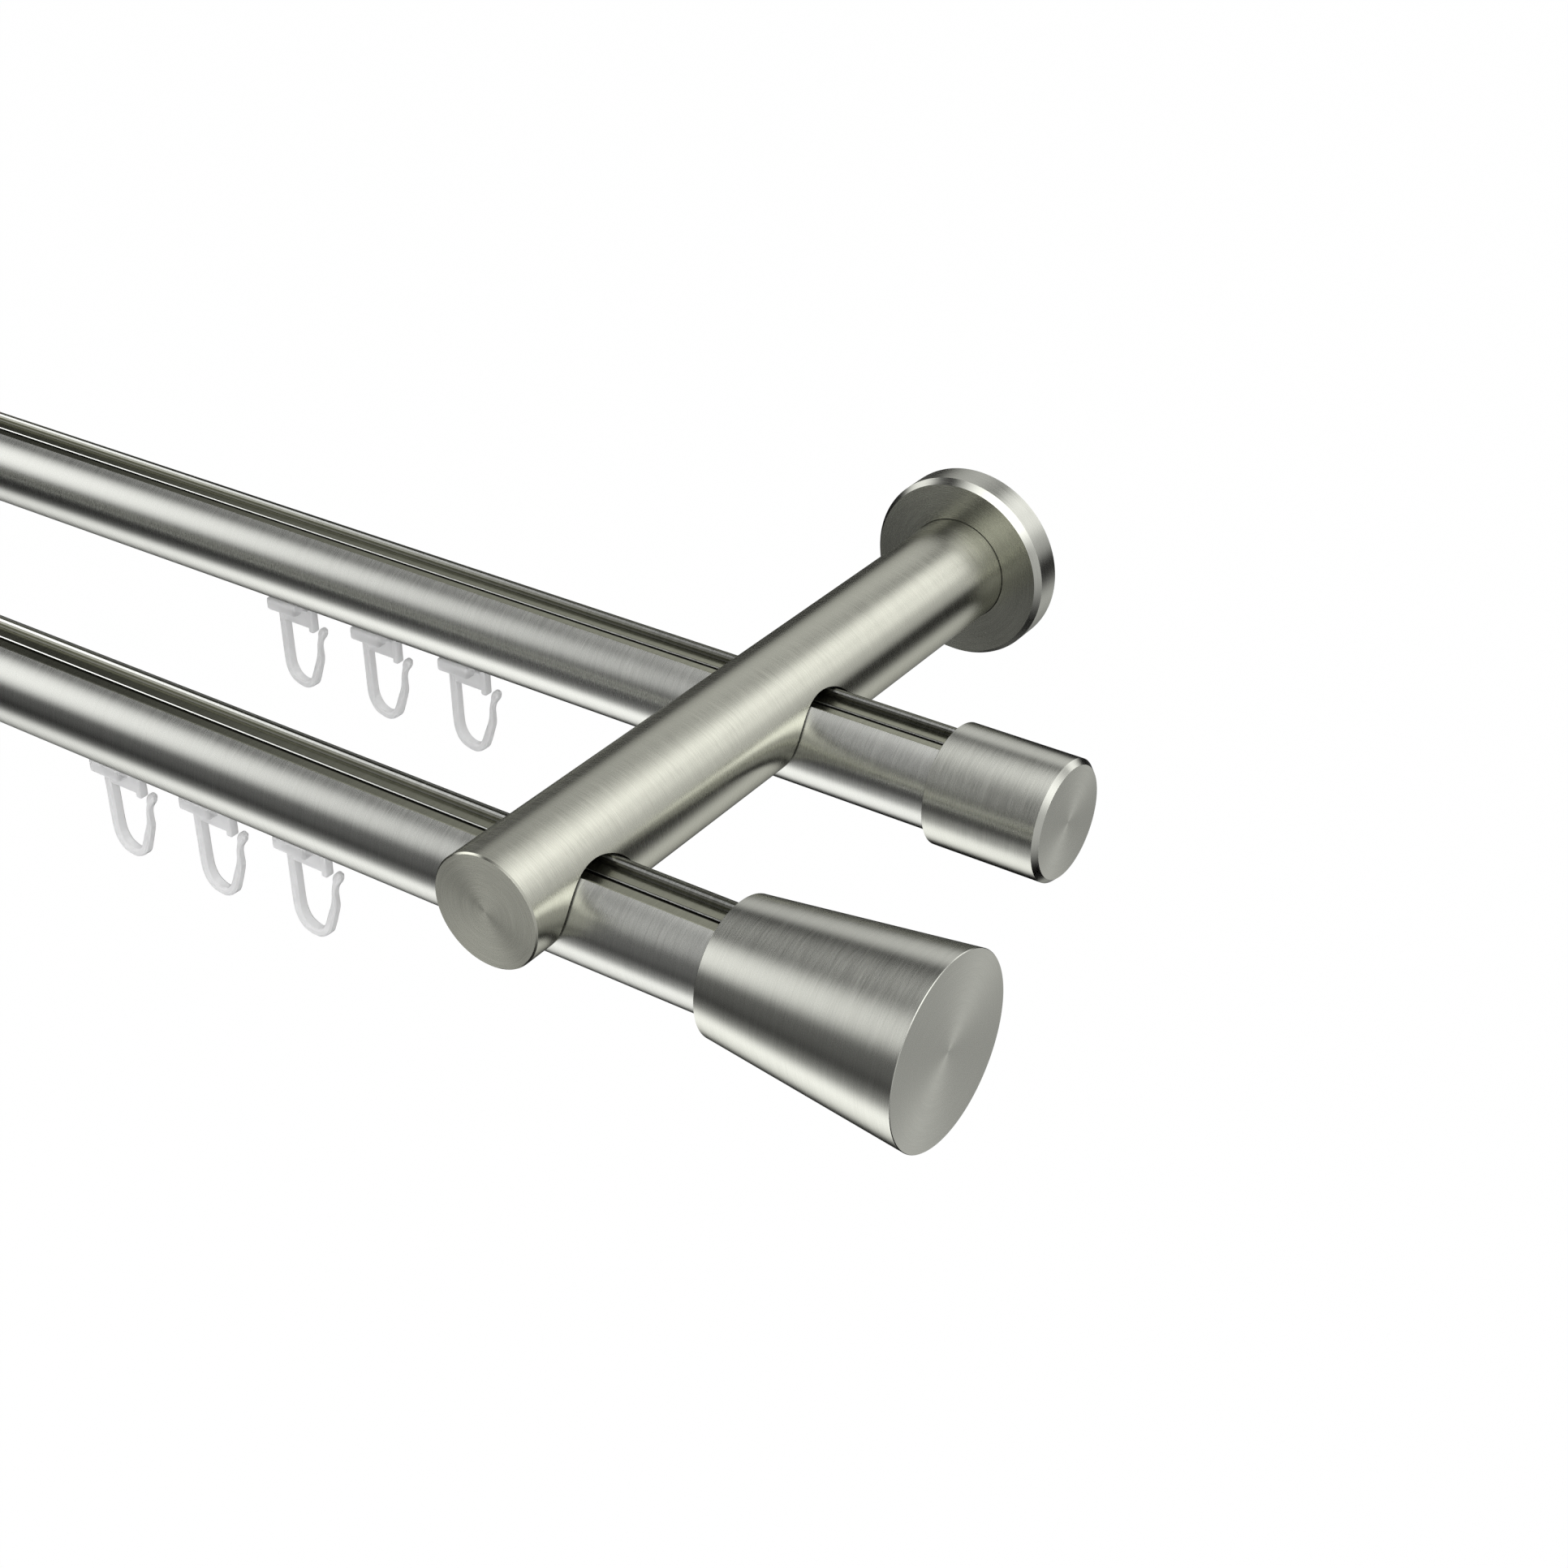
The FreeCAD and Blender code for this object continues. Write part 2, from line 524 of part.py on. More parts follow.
def build_glider(label, where, place_text):
    body = new_body(label)
    under_plate = "(pole_radius + plate_gap + plate_thickness)"
    build_hook(body, label, f"-{under_plate}")

    bar = new_sketch(body, "XZ_Plane", f"{label}_bar")
    plate_top = "-pole_radius - plate_gap"
    box_outline(bar, "0", "bar_length", f"-{under_plate} - bar_drop", f"-{under_plate} + plate_thickness / 2")
    pad(body, bar, "bar_width", both_ways=True)

    nose = new_sketch(body, "XZ_Plane", f"{label}_nose")
    edge = "nose_thickness * 0.3"
    low = f"-{under_plate} - bar_drop - nose_drop"
    end = "bar_length + nose_thickness / 2"
    polygon(nose, ((f"{end} - nose_thickness", f"{low} + {edge}"), (f"{end} - nose_thickness + {edge}", low),
                   (f"{end} - {edge}", low), (end, f"{low} + {edge}"), (end, plate_top),
                   (f"{end} - nose_thickness", plate_top)))
    pad(body, nose, "nose_width", both_ways=True)

    outer = "(plate_width / 2)"
    start = "-plate_overlap"
    stop = "plate_length - plate_overlap"
    plan = ((f"{start} + plate_corner", f"-{outer}"), (stop, f"-{outer}"), (stop, outer),
            (f"{start} + plate_corner", outer), (start, f"{outer} - plate_corner"),
            (start, f"-{outer} + plate_corner"))
    plate = new_sketch(body, "XY_Plane", f"{label}_plate", lift=f"-{under_plate}")
    polygon(plate, plan)
    pad(body, plate, "plate_thickness - plate_bevel")
    bevel = new_sketch(body, "XY_Plane", f"{label}_plate_bevel", lift=f"{plate_top} - plate_bevel")
    polygon(bevel, plan)
    pad(body, bevel, "plate_bevel", taper="-45")

    rail = "(-pole_radius + rail_height + glider_clearance)"
    neck = new_sketch(body, "XY_Plane", f"{label}_neck", lift=f"{plate_top} - plate_bevel / 2")
    slim = "(slot_width / 2 - glider_clearance)"
    box_outline(neck, "neck_start", "neck_start + neck_length", f"-{slim}", slim)
    pad(body, neck, f"{rail} - ({plate_top} - plate_bevel / 2) + head_height / 2")
    head = new_sketch(body, "YZ_Plane", f"{label}_head", lift="neck_start + neck_length / 2")
    wide = "(track_width / 2 - glider_clearance)"
    middle, top = f"{rail} + head_height / 2", f"{rail} + head_height"
    polygon(head, ((f"-{wide}", rail), (wide, rail), (wide, middle), (f"{wide} - head_height / 2", top),
                   (f"-{wide} + head_height / 2", top), (f"-{wide}", middle)))
    pad(body, head, "head_length", both_ways=True)
    place(body, place_text, POLE_AXES[where], POLE_HEIGHT)
    return body


GLIDERS_PER_POLE = 3
GLIDER_PLACES = {"rear": "rear_glider_place", "front": "front_glider_place"}

for pole in POLE_AXES:
    build_pole(pole)

for hand in ARM_AXES:
    build_arm(hand)
    build_flange(hand)
    flange_screw = build_screw(f"{hand}_flange_screw", "flange_screw_radius", "flange_screw_length")
    place(flange_screw, ARM_AXES[hand], FLANGE_SCREW_PLACE, "-arm_radius - screw_clearance",
          Rotation(Vector(1, 0, 0), 180))
    for pole, pole_axis in POLE_AXES.items():
        build_pole_end(pole, hand)
        clamp = build_screw(f"{hand}_{pole}_clamp_screw", "clamp_screw_radius", "clamp_screw_length")
        touch = "(pole_radius + screw_clearance)"
        place(clamp, ARM_AXES[hand], f"{pole_axis} + {touch} * cos(clamp_angle)",
              f"{POLE_HEIGHT} - {touch} * sin(clamp_angle)", CLAMP_TURN)

for pole, last_place in GLIDER_PLACES.items():
    for number in range(1, GLIDERS_PER_POLE + 1):
        steps_left = GLIDERS_PER_POLE - number
        build_glider(f"{pole}_glider_{number}", pole, f"{last_place} - {steps_left} * glider_pitch")

rebuild()

# Checks before anything is written

bodies = [thing for thing in doc.Objects if thing.TypeId == "PartDesign::Body"]
for piece in bodies:
    if piece.Shape.isNull() or not piece.Shape.isValid() or len(piece.Shape.Solids) != 1:
        raise RuntimeError(f"{piece.Label} isn't one valid solid")

os.makedirs(STEP_FOLDER, exist_ok=True)
for piece in bodies:
    piece.Shape.exportStep(os.path.join(STEP_FOLDER, piece.Label + ".step"))
    print(f"{piece.Label}: {piece.Shape.Volume:.1f} mm3")
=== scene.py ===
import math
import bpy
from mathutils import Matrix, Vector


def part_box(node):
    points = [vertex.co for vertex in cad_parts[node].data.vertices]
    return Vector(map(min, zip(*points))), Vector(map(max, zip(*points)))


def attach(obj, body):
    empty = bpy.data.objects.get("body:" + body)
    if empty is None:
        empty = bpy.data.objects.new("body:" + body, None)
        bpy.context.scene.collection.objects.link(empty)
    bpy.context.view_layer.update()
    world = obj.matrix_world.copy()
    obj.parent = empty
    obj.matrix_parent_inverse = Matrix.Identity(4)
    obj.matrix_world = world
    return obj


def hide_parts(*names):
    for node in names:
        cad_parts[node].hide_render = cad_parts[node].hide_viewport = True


bl_info = {
    "name": "Double Curtain Pole",
    "version": (1, 0, 0),
    "blender": (4, 5, 0),
    "location": "View3D > Sidebar > Curtain Pole",
    "description": "Brushed double curtain pole with turned brackets, finials, caps and hook gliders",
    "category": "Object",
}

import bmesh
import bpy
from mathutils import Matrix, Vector

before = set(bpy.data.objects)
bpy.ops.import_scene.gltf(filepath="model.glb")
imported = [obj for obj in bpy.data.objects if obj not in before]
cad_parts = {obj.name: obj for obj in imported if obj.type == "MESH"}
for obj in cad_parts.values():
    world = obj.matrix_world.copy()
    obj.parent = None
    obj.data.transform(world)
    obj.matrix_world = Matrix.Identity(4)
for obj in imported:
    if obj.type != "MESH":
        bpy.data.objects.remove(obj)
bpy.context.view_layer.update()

ROOT = "pole_set"
SIDES = ("right", "left")
POLES = ("rear", "front")
GLIDERS = (1, 2, 3)
MM = 0.001


def cad_centre(node):
    """Middle of a CAD node's box."""
    low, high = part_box(node)
    return (Vector(low) + Vector(high)) / 2


def cad_size(node):
    """Edge lengths of a CAD node's box."""
    low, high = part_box(node)
    return Vector(high) - Vector(low)


# The pole's section isn't round at the top and bottom, so its width gives the axis height
POLE_RADIUS = cad_size("front_pole").y / 2
SLOT_WIDTH = 5.0 * MM
POLE_BOTTOM = math.sqrt(POLE_RADIUS ** 2 - (SLOT_WIDTH / 2) ** 2)


def pole_axis(where):
    """Point on a pole's axis, at the right arm."""
    low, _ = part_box(f"{where}_pole")
    return Vector((0, cad_centre(f"{where}_pole").y, low[2] + POLE_BOTTOM))


# Sizes and colours that a user may change


def length_property(name, description, default):
    return bpy.props.FloatProperty(name=name, description=description, default=default, min=0.0,
                                   subtype="DISTANCE", unit="LENGTH", precision=5)


def colour_property(name, description, default):
    return bpy.props.FloatVectorProperty(name=name, description=description, default=default, size=3,
                                         min=0.0, max=1.0, subtype="COLOR")


class PoleSizes(bpy.types.PropertyGroup):
    groove_half_width: length_property("Groove half width", "Half width of the groove on top", 3.25 * MM)
    groove_depth: length_property("Groove depth", "From the groove's lip to its floor", 1.45 * MM)
    groove_flare: length_property("Groove flare", "Width of the flare beside the groove", 1.0 * MM)
    lip_edge: length_property("Lip edge", "Width of the lip along the groove", 0.35 * MM)
    # The groove's dark lines are painted shade and its bright edges a painted highlight
    fine_line: length_property("Fine line", "Width of the groove's dark lines and bright edges", 0.15 * MM)
    centre_line_width: length_property("Centre line width", "Width of the centring line", 0.6 * MM)
    centre_line_depth: length_property("Centre line depth", "Depth of the centring line", 0.6 * MM)
    slot_width: length_property("Slot width", "Width of the runner slot below", SLOT_WIDTH)
    rail_height: length_property("Rail height", "Underside of the pole to the glider rails", 3.0 * MM)
    track_width: length_property("Track width", "Width of the runner track", 11.0 * MM)
    track_height: length_property("Track height", "Height of the runner track", 3.2 * MM)
    arc_steps: bpy.props.IntProperty(name="Arc steps", description="Faces round each side of the pole",
                                     default=72, min=12)


class BracketSizes(bpy.types.PropertyGroup):
    arm_edge: length_property("Arm edge", "Chamfer round the arm's front face", 0.3 * MM)
    saddle_radius: length_property("Saddle radius", "Radius of the arm's saddles", 10.4 * MM)
    clamp_hole_depth: length_property("Clamp hole depth", "Length of the clamp screws' holes", 21.5 * MM)
    thread_radius: length_property("Thread radius", "Radius of the hole in the wall end", 3.4 * MM)
    thread_depth: length_property("Thread depth", "Depth of the hole in the wall end", 30.0 * MM)
    flange_bevel_width: length_property("Disc bevel width", "Bevel of the wall disc on its face", 1.0 * MM)
    flange_bevel_depth: length_property("Disc bevel depth", "Bevel of the wall disc on its rim", 1.5 * MM)
    flange_recess_depth: length_property("Disc recess depth", "Recess in the wall disc's back", 2.0 * MM)
    flange_recess_radius: length_property("Disc recess radius", "Radius of that recess", 16.5 * MM)
    flange_clearance: length_property("Disc clearance", "Air between the arm and its disc", 0.15 * MM)
    screw_slope: bpy.props.FloatProperty(name="Clamp screw slope", description="Slope of the clamp screws",
                                         default=math.radians(20), subtype="ANGLE", unit="ROTATION")
    steps: bpy.props.IntProperty(name="Round steps", description="Faces round a turned piece",
                                 default=192, min=24)


class EndSizes(bpy.types.PropertyGroup):
    finial_small_radius: length_property("Finial small radius", "Radius where the pole enters", 12.95 * MM)
    cap_bevel: length_property("Cap bevel", "Chamfer round the cap's end", 1.0 * MM)
    sharp_edge: length_property("Sharp edge", "Softening of the sharp edges", 0.12 * MM)
    socket_depth: length_property("Socket depth", "How far the pole goes in", 15.0 * MM)
    socket_clearance: length_property("Socket clearance", "Air round the pole", 0.1 * MM)
    screw_place: length_property("Screw place", "Inner end to the set screw", 7.5 * MM)
    screw_hole_radius: length_property("Screw hole radius", "Radius of the set screws' holes", 1.55 * MM)


class GliderSizes(bpy.types.PropertyGroup):
    back_reach: length_property("Back reach", "Hook's start to the back of the plate and head", 1.05 * MM)
    plate_length: length_property("Plate length", "Length of the plate under the pole", 8.4 * MM)
    plate_width: length_property("Plate width", "Width of that plate", 7.0 * MM)
    plate_thickness: length_property("Plate thickness", "Thickness of that plate", 2.8 * MM)
    plate_gap: length_property("Plate gap", "Pole's underside to the plate", 0.6 * MM)
    plate_edge: length_property("Plate edge", "Rounding of the plate's upper and lower edges", 0.5 * MM)
    plate_corner: length_property("Plate corner", "Rounding of the plate's upright corners", 0.8 * MM)
    bar_start: length_property("Bar start", "Hook's start to the bar", 0.05 * MM)
    bar_width: length_property("Bar width", "Width of the bar under the plate", 2.0 * MM)
    bar_length: length_property("Bar length", "Hook's start to the end of that bar", 10.0 * MM)
    bar_drop: length_property("Bar drop", "Depth of the bar below the plate", 3.1 * MM)
    bar_edge: length_property("Bar edge", "Rounding of the bar and the neck", 0.3 * MM)
    stop_start: length_property("Stop start", "Hook's start to the stop at the bar's end", 8.8 * MM)
    stop_end: length_property("Stop end", "Hook's start to the far side of that stop", 10.3 * MM)
    stop_width: length_property("Stop width", "Width of that stop", 2.2 * MM)
    stop_drop: length_property("Stop drop", "Depth of the stop below the plate", 4.1 * MM)
    stop_lower: length_property("Stop lower", "Plate's top to the stop's top", 0.4 * MM)
    stop_edge: length_property("Stop edge", "Rounding of the stop", 0.45 * MM)
    neck_start: length_property("Neck start", "Hook's start to the neck in the slot", 0.6 * MM)
    neck_width: length_property("Neck width", "Width of the neck in the slot", 4.4 * MM)
    neck_length: length_property("Neck length", "Length of the neck in the slot", 6.2 * MM)
    neck_top: length_property("Neck top", "Pole's underside to the neck's top", 4.4 * MM)
    overlap: length_property("Overlap", "How far the bar and neck go into the plate", 1.0 * MM)
    head_length: length_property("Head length", "Length of the head in the track", 9.5 * MM)
    head_width: length_property("Head width", "Width of that head", 10.4 * MM)
    head_bottom: length_property("Head bottom", "Pole's underside to the head's underside", 3.3 * MM)
    head_top: length_property("Head top", "Pole's underside to the head's top", 5.5 * MM)
    head_edge: length_property("Head edge", "Rounding of the head", 0.6 * MM)
    hook_place: length_property("Hook place", "Glider's back to the hook's start", 1.1 * MM)
    hook_edge: length_property("Hook edge", "Chamfer along the hook", 0.42 * MM)
    soft_edge: length_property("Soft edge", "Rounding of every moulded edge", 0.1 * MM)


class FinishAndPaintedLightColours(bpy.types.PropertyGroup):
    metal: colour_property("Pole metal", "Brushed stainless tone of the poles", (0.71, 0.715, 0.675))
    fitting: colour_property("Fitting metal", "Brushed stainless tone of the fittings", (0.7, 0.705, 0.645))
    arm: colour_property("Arm metal", "Warmer stainless tone of the bracket arms", (0.71, 0.712, 0.62))
    # The groove, groove corner and groove wall colours are painted shade: darker copies of the metal inside
    # the groove, on its dark lines, on its lower walls and in the slot and track below
    groove: colour_property("Groove", "Tone inside the groove", (0.4, 0.405, 0.325))
    corner: colour_property("Groove corner", "Tone of the dark lines in the groove", (0.13, 0.13, 0.11))
    wall: colour_property("Groove wall", "Tone of the groove's lower walls", (0.3, 0.3, 0.26))
    # The groove edge colour is a painted highlight: a bright copy of the metal on the groove's lit edges
    edge: colour_property("Groove edge", "Tone of the bright lines in the groove", (0.93, 0.94, 0.9))
    # The disc face colour is painted shade: a darker copy of the fitting metal on the wall discs' fronts
    disc: colour_property("Disc face", "Tone of the wall discs' fronts", (0.5, 0.505, 0.44))
    screw: colour_property("Screw", "Tone of the set screws", (0.3, 0.3, 0.29))
    plastic: colour_property("Plastic", "Milky tone of the gliders", (0.92, 0.92, 0.925))
    line_spacing: length_property("Line spacing", "Distance between brushed lines", 0.22 * MM)


class StudioSettings(bpy.types.PropertyGroup):
    camera_place: bpy.props.FloatVectorProperty(
        name="Camera place", description="Camera position in the part's frame", size=3,
        default=(0.232641, -0.412651, 0.235017), subtype="TRANSLATION", unit="LENGTH")
    camera_turn: bpy.props.FloatVectorProperty(
        name="Camera turn", description="Camera rotation", size=3, subtype="EULER",
        default=(math.radians(58.218), math.radians(0.118), math.radians(34.273)))
    lens: bpy.props.FloatProperty(name="Lens", description="Focal length in millimetres", default=56.16)
    floor_drop: length_property("Floor drop", "Depth of the floor below the pole", 0.9)
    floor_reach: length_property("Floor reach", "Middle of the floor to its sides", 8.0)
    lamp_size: length_property("Lamp size", "Width of the soft lamps", 0.9)
    light_level: bpy.props.FloatProperty(name="Light level", description="Strength of the studio light",
                                         default=1.0)


# Turned and extruded shapes

# Tones of the pole's faces, in the order of its materials: the groove, dark and wall tones are painted
# shade, the bright tone is a painted highlight
POLE_TONES = ("surface", "groove", "dark", "bright", "wall")
# The groove's side, in shares of its flare: fillet at the floor, straight wall, rounding up to the lip
FILLET_IN, FILLET_UP, WALL_UP = 0.2, 0.25, 0.72
ROUND_OUT, ROUND_DOWN, LIP_SLOPE, LIP_DROP = 0.25, 0.38, 0.1, 0.04
# Width of the painted highlight line at the lip, as a share of the other fine lines
LIP_LINE = 0.6
# The saddles' cutters start this far beside the arm's axis, and the holes' cutters end this far outside
SADDLE_REACH, HOLE_REACH = 30 * MM, 2 * MM
# How much wider than a hole the search for its faces reaches
SADDLE_SEARCH, HOLE_SEARCH = 1.002, 1.01
# Metres of the UV map for each radian of turning
UV_PER_TURN = 0.01
# A face looks along an axis above the first, and is turned about it below the second
FACING, TURNED_LEAN = 0.9, 0.12
TINY = 1e-7


def to_mesh(bm, name):
    """Turn a finished bmesh into a mesh."""
    mesh = bpy.data.meshes.new(name)
    bm.to_mesh(mesh)
    bm.free()
    return mesh


def finish_piece(name, mesh, body, *materials):
    """Link a mesh as an object that rides on a body and wears its materials."""
    old = bpy.data.objects.get(name)
    if old:
        bpy.data.objects.remove(old)
    piece = bpy.data.objects.new(name, mesh)
    bpy.context.scene.collection.objects.link(piece)
    for material in materials:
        mesh.materials.append(material)
    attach(piece, body)
    return piece


def turned_mesh(name, profile, steps):
    """Spin an outline of (along, radius) points about the X axis."""
    bm = bmesh.new()
    points = [bm.verts.new((along, 0, radius)) for along, radius in profile]
    edges = [bm.edges.new(pair) for pair in zip(points, points[1:])]
    if profile[0][1] > TINY and profile[-1][1] > TINY:
        edges.append(bm.edges.new((points[-1], points[0])))
    bmesh.ops.spin(bm, geom=points + edges, cent=(0, 0, 0), axis=(1, 0, 0), angle=math.tau, steps=steps,
                   use_merge=True)
    bmesh.ops.remove_doubles(bm, verts=bm.verts, dist=TINY)
    bmesh.ops.recalc_face_normals(bm, faces=bm.faces)
    return to_mesh(bm, name)


def rod(start, direction, radius, length, steps=48):
    """A plain round cutter that starts at a point."""
    bm = bmesh.new()
    turn = Vector(direction).to_track_quat("Z", "Y").to_matrix().to_4x4()
    bmesh.ops.create_cone(bm, cap_ends=True, segments=steps, radius1=radius, radius2=radius, depth=length,
                          matrix=Matrix.Translation(start) @ turn @ Matrix.Translation((0, 0, length / 2)))
    return to_mesh(bm, "cutter")


def combine(mesh, others, operation):
    """Cut or join other meshes and return the result as a new mesh."""
    collection = bpy.context.scene.collection
    host = bpy.data.objects.new("blank", mesh)
    helpers = [bpy.data.objects.new("helper", other) for other in others]
    for thing in [host] + helpers:
        collection.objects.link(thing)
    for helper in helpers:
        step = host.modifiers.new(operation.lower(), "BOOLEAN")
        step.operation = operation
        step.solver = "EXACT"
        step.object = helper
    graph = bpy.context.evaluated_depsgraph_get()
    result = bpy.data.meshes.new_from_object(host.evaluated_get(graph))
    for thing in [host] + helpers:
        shape = thing.data
        bpy.data.objects.remove(thing)
        bpy.data.meshes.remove(shape)
    if not result.polygons:
        raise RuntimeError(f"{operation.lower()} left nothing")
    return result


def round_off(mesh, axes):
    """Exact smooth normals and a UV map for faces that are turned about one of the axes.

    Each axis is (point, direction, largest radius or None). A face follows the first axis that it
    fits; U runs along the axis or out from it, and V runs round it.
    """
    mesh.uv_layers.new(name="turning")
    layer = mesh.uv_layers["turning"].data
    normals = [None] * len(mesh.loops)
    spots = [vertex.co.copy() for vertex in mesh.vertices]
    for face in mesh.polygons:
        for point, direction, reach in axes:
            offset = face.center - point
            out = offset - direction * offset.dot(direction)
            if reach and max((spots[v] - point).cross(direction).length for v in face.vertices) > reach:
                continue
            around = direction.cross(out)
            if out.length < TINY or abs(face.normal.dot(around.normalized())) < TURNED_LEAN:
                break
        along_part = face.normal.dot(direction)
        out_part = face.normal.dot(out.normalized()) if out.length > TINY else 0.0
        flat = abs(along_part) > FACING
        level = direction.orthogonal()
        upright = level.cross(direction)
        middle = math.atan2(out.dot(upright), out.dot(level))
        for loop in face.loop_indices:
            vertex = spots[mesh.loops[loop].vertex_index]
            offset = vertex - point
            radial = offset - direction * offset.dot(direction)
            if flat or radial.length < TINY:
                normals[loop] = face.normal
            else:
                normals[loop] = (direction * along_part + radial.normalized() * out_part).normalized()
            turn = middle
            if radial.length > TINY:
                turn = math.atan2(radial.dot(upright), radial.dot(level))
                turn += math.tau * round((middle - turn) / math.tau)
            layer[loop].uv = (radial.length if flat else offset.dot(direction), turn * UV_PER_TURN)
    for face in mesh.polygons:
        face.use_smooth = True
    mesh.normals_split_custom_set([tuple(normal) for normal in normals])


def stand(mesh, place, along):
    """Move a mesh from the X axis to its own place, with X turned to a horizontal direction."""
    angle = math.atan2(along[1], along[0])
    mesh.transform(Matrix.Translation(place) @ Matrix.Rotation(angle, 4, "Z"))


def pole_mesh(name, sizes, low, high):
    """Extrude the pole's section: a tube with a groove above and a runner track below."""
    radius = POLE_RADIUS
    wide = sizes.groove_half_width + sizes.groove_flare
    lip = math.sqrt(radius ** 2 - wide ** 2)
    floor = lip - sizes.groove_depth
    half, flare, fine = sizes.groove_half_width, sizes.groove_flare, sizes.fine_line
    line = sizes.centre_line_width / 2
    slot, track = sizes.slot_width / 2, sizes.track_width / 2
    rail = -radius + sizes.rail_height
    start, stop = math.atan2(lip, wide), -math.acos(slot / radius)
    # Half of the section, from the middle of the groove outwards, each point with the tone of the
    # face that ends there. The groove, wall and dark tones are painted shade, the bright tone a painted
    # highlight, and the slot and track below take the groove's painted shade
    points = [(line, floor - sizes.centre_line_depth, "dark"), (line, floor - fine, "dark"),
              (line + fine, floor, "bright"), (line + fine * 2, floor, "dark"),
              (half - flare * FILLET_IN, floor, "groove"), (half, floor + flare * FILLET_UP, "dark"),
              (half, floor + flare * WALL_UP, "wall"),
              (half + flare * ROUND_OUT, lip - flare * ROUND_DOWN, "wall"),
              (wide - sizes.lip_edge - fine * LIP_LINE, lip - flare * LIP_SLOPE, "bright"),
              (wide - sizes.lip_edge, lip - flare * LIP_DROP, "dark"), (wide, lip, "groove")]
    arc = [start + (stop - start) * step / sizes.arc_steps for step in range(1, sizes.arc_steps + 1)]
    points += [(radius * math.cos(turn), radius * math.sin(turn), "surface") for turn in arc]
    points += [(slot, rail, "groove"), (track, rail, "groove"),
               (track, rail + sizes.track_height, "groove")]
    outline = [point[:2] for point in points]
    bm = bmesh.new()
    tone = bm.edges.layers.int.new("tone")
    sides = [[bm.verts.new((low, y * side, z)) for y, z in outline] for side in (1, -1)]
    end = bm.faces.new(sides[0] + sides[1][::-1])
    for verts in sides:
        for first, second, (_, _, kind) in zip(verts, verts[1:], points[1:]):
            bm.edges.get((first, second))[tone] = POLE_TONES.index(kind)
    bm.edges.get((sides[0][0], sides[1][0]))[tone] = POLE_TONES.index("dark")
    bm.edges.get((sides[0][-1], sides[1][-1]))[tone] = POLE_TONES.index("groove")
    walls = bmesh.ops.extrude_face_region(bm, geom=[end])
    moved = [item for item in walls["geom"] if isinstance(item, bmesh.types.BMVert)]
    bmesh.ops.translate(bm, verts=moved, vec=(high - low, 0, 0))
    bmesh.ops.recalc_face_normals(bm, faces=bm.faces)
    # Faces along the pole wear the tone of their edges: the groove's painted shade and painted highlight,
    # or the plain brushed metal
    for face in bm.faces:
        if abs(face.normal.x) < FACING:
            face.material_index = max(edge[tone] for edge in face.edges)
    bm.edges.layers.int.remove(tone)
    mesh = to_mesh(bm, name)
    layer = mesh.uv_layers.new(name="turning").data
    normals = [None] * len(mesh.loops)
    for face in mesh.polygons:
        outside = all(abs(math.hypot(mesh.vertices[v].co.y, mesh.vertices[v].co.z) - radius) < TINY
                      for v in face.vertices) and abs(face.normal.x) < FACING
        face.use_smooth = True
        for loop in face.loop_indices:
            spot = mesh.vertices[mesh.loops[loop].vertex_index].co
            normals[loop] = tuple(Vector((0, spot.y, spot.z)).normalized() if outside else face.normal)
            around = math.atan2(spot.y, -spot.z) * UV_PER_TURN if outside else spot.y + spot.z
            layer[loop].uv = (spot.x, around)
    mesh.normals_split_custom_set(normals)
    return mesh


# Materials


def link(tree, start, end):
    tree.links.new(start, end)


def value_math(tree, operation, first, second):
    """A Math node whose inputs are sockets or plain values."""
    node = tree.nodes.new("ShaderNodeMath")
    node.operation = operation
    for socket, item in zip(node.inputs, (first, second)):
        if isinstance(item, (int, float)):
            socket.default_value = item
        else:
            link(tree, item, socket)
    return node.outputs[0]


# Brushing in two layers, short fine lines and long coarse ones: lines in each spacing, and changes
# along a line in each metre
BRUSH_LAYERS = ((1.0, 200.0), (0.16, 45.0))
COARSE_SHARE = 0.35
ROUGHNESS_SPREAD = 0.08
# Depth of the lines, and the spacing on fittings, as shares of the lines' spacing
LINE_DEPTH, FITTING_SPACING = 0.3, 1.1


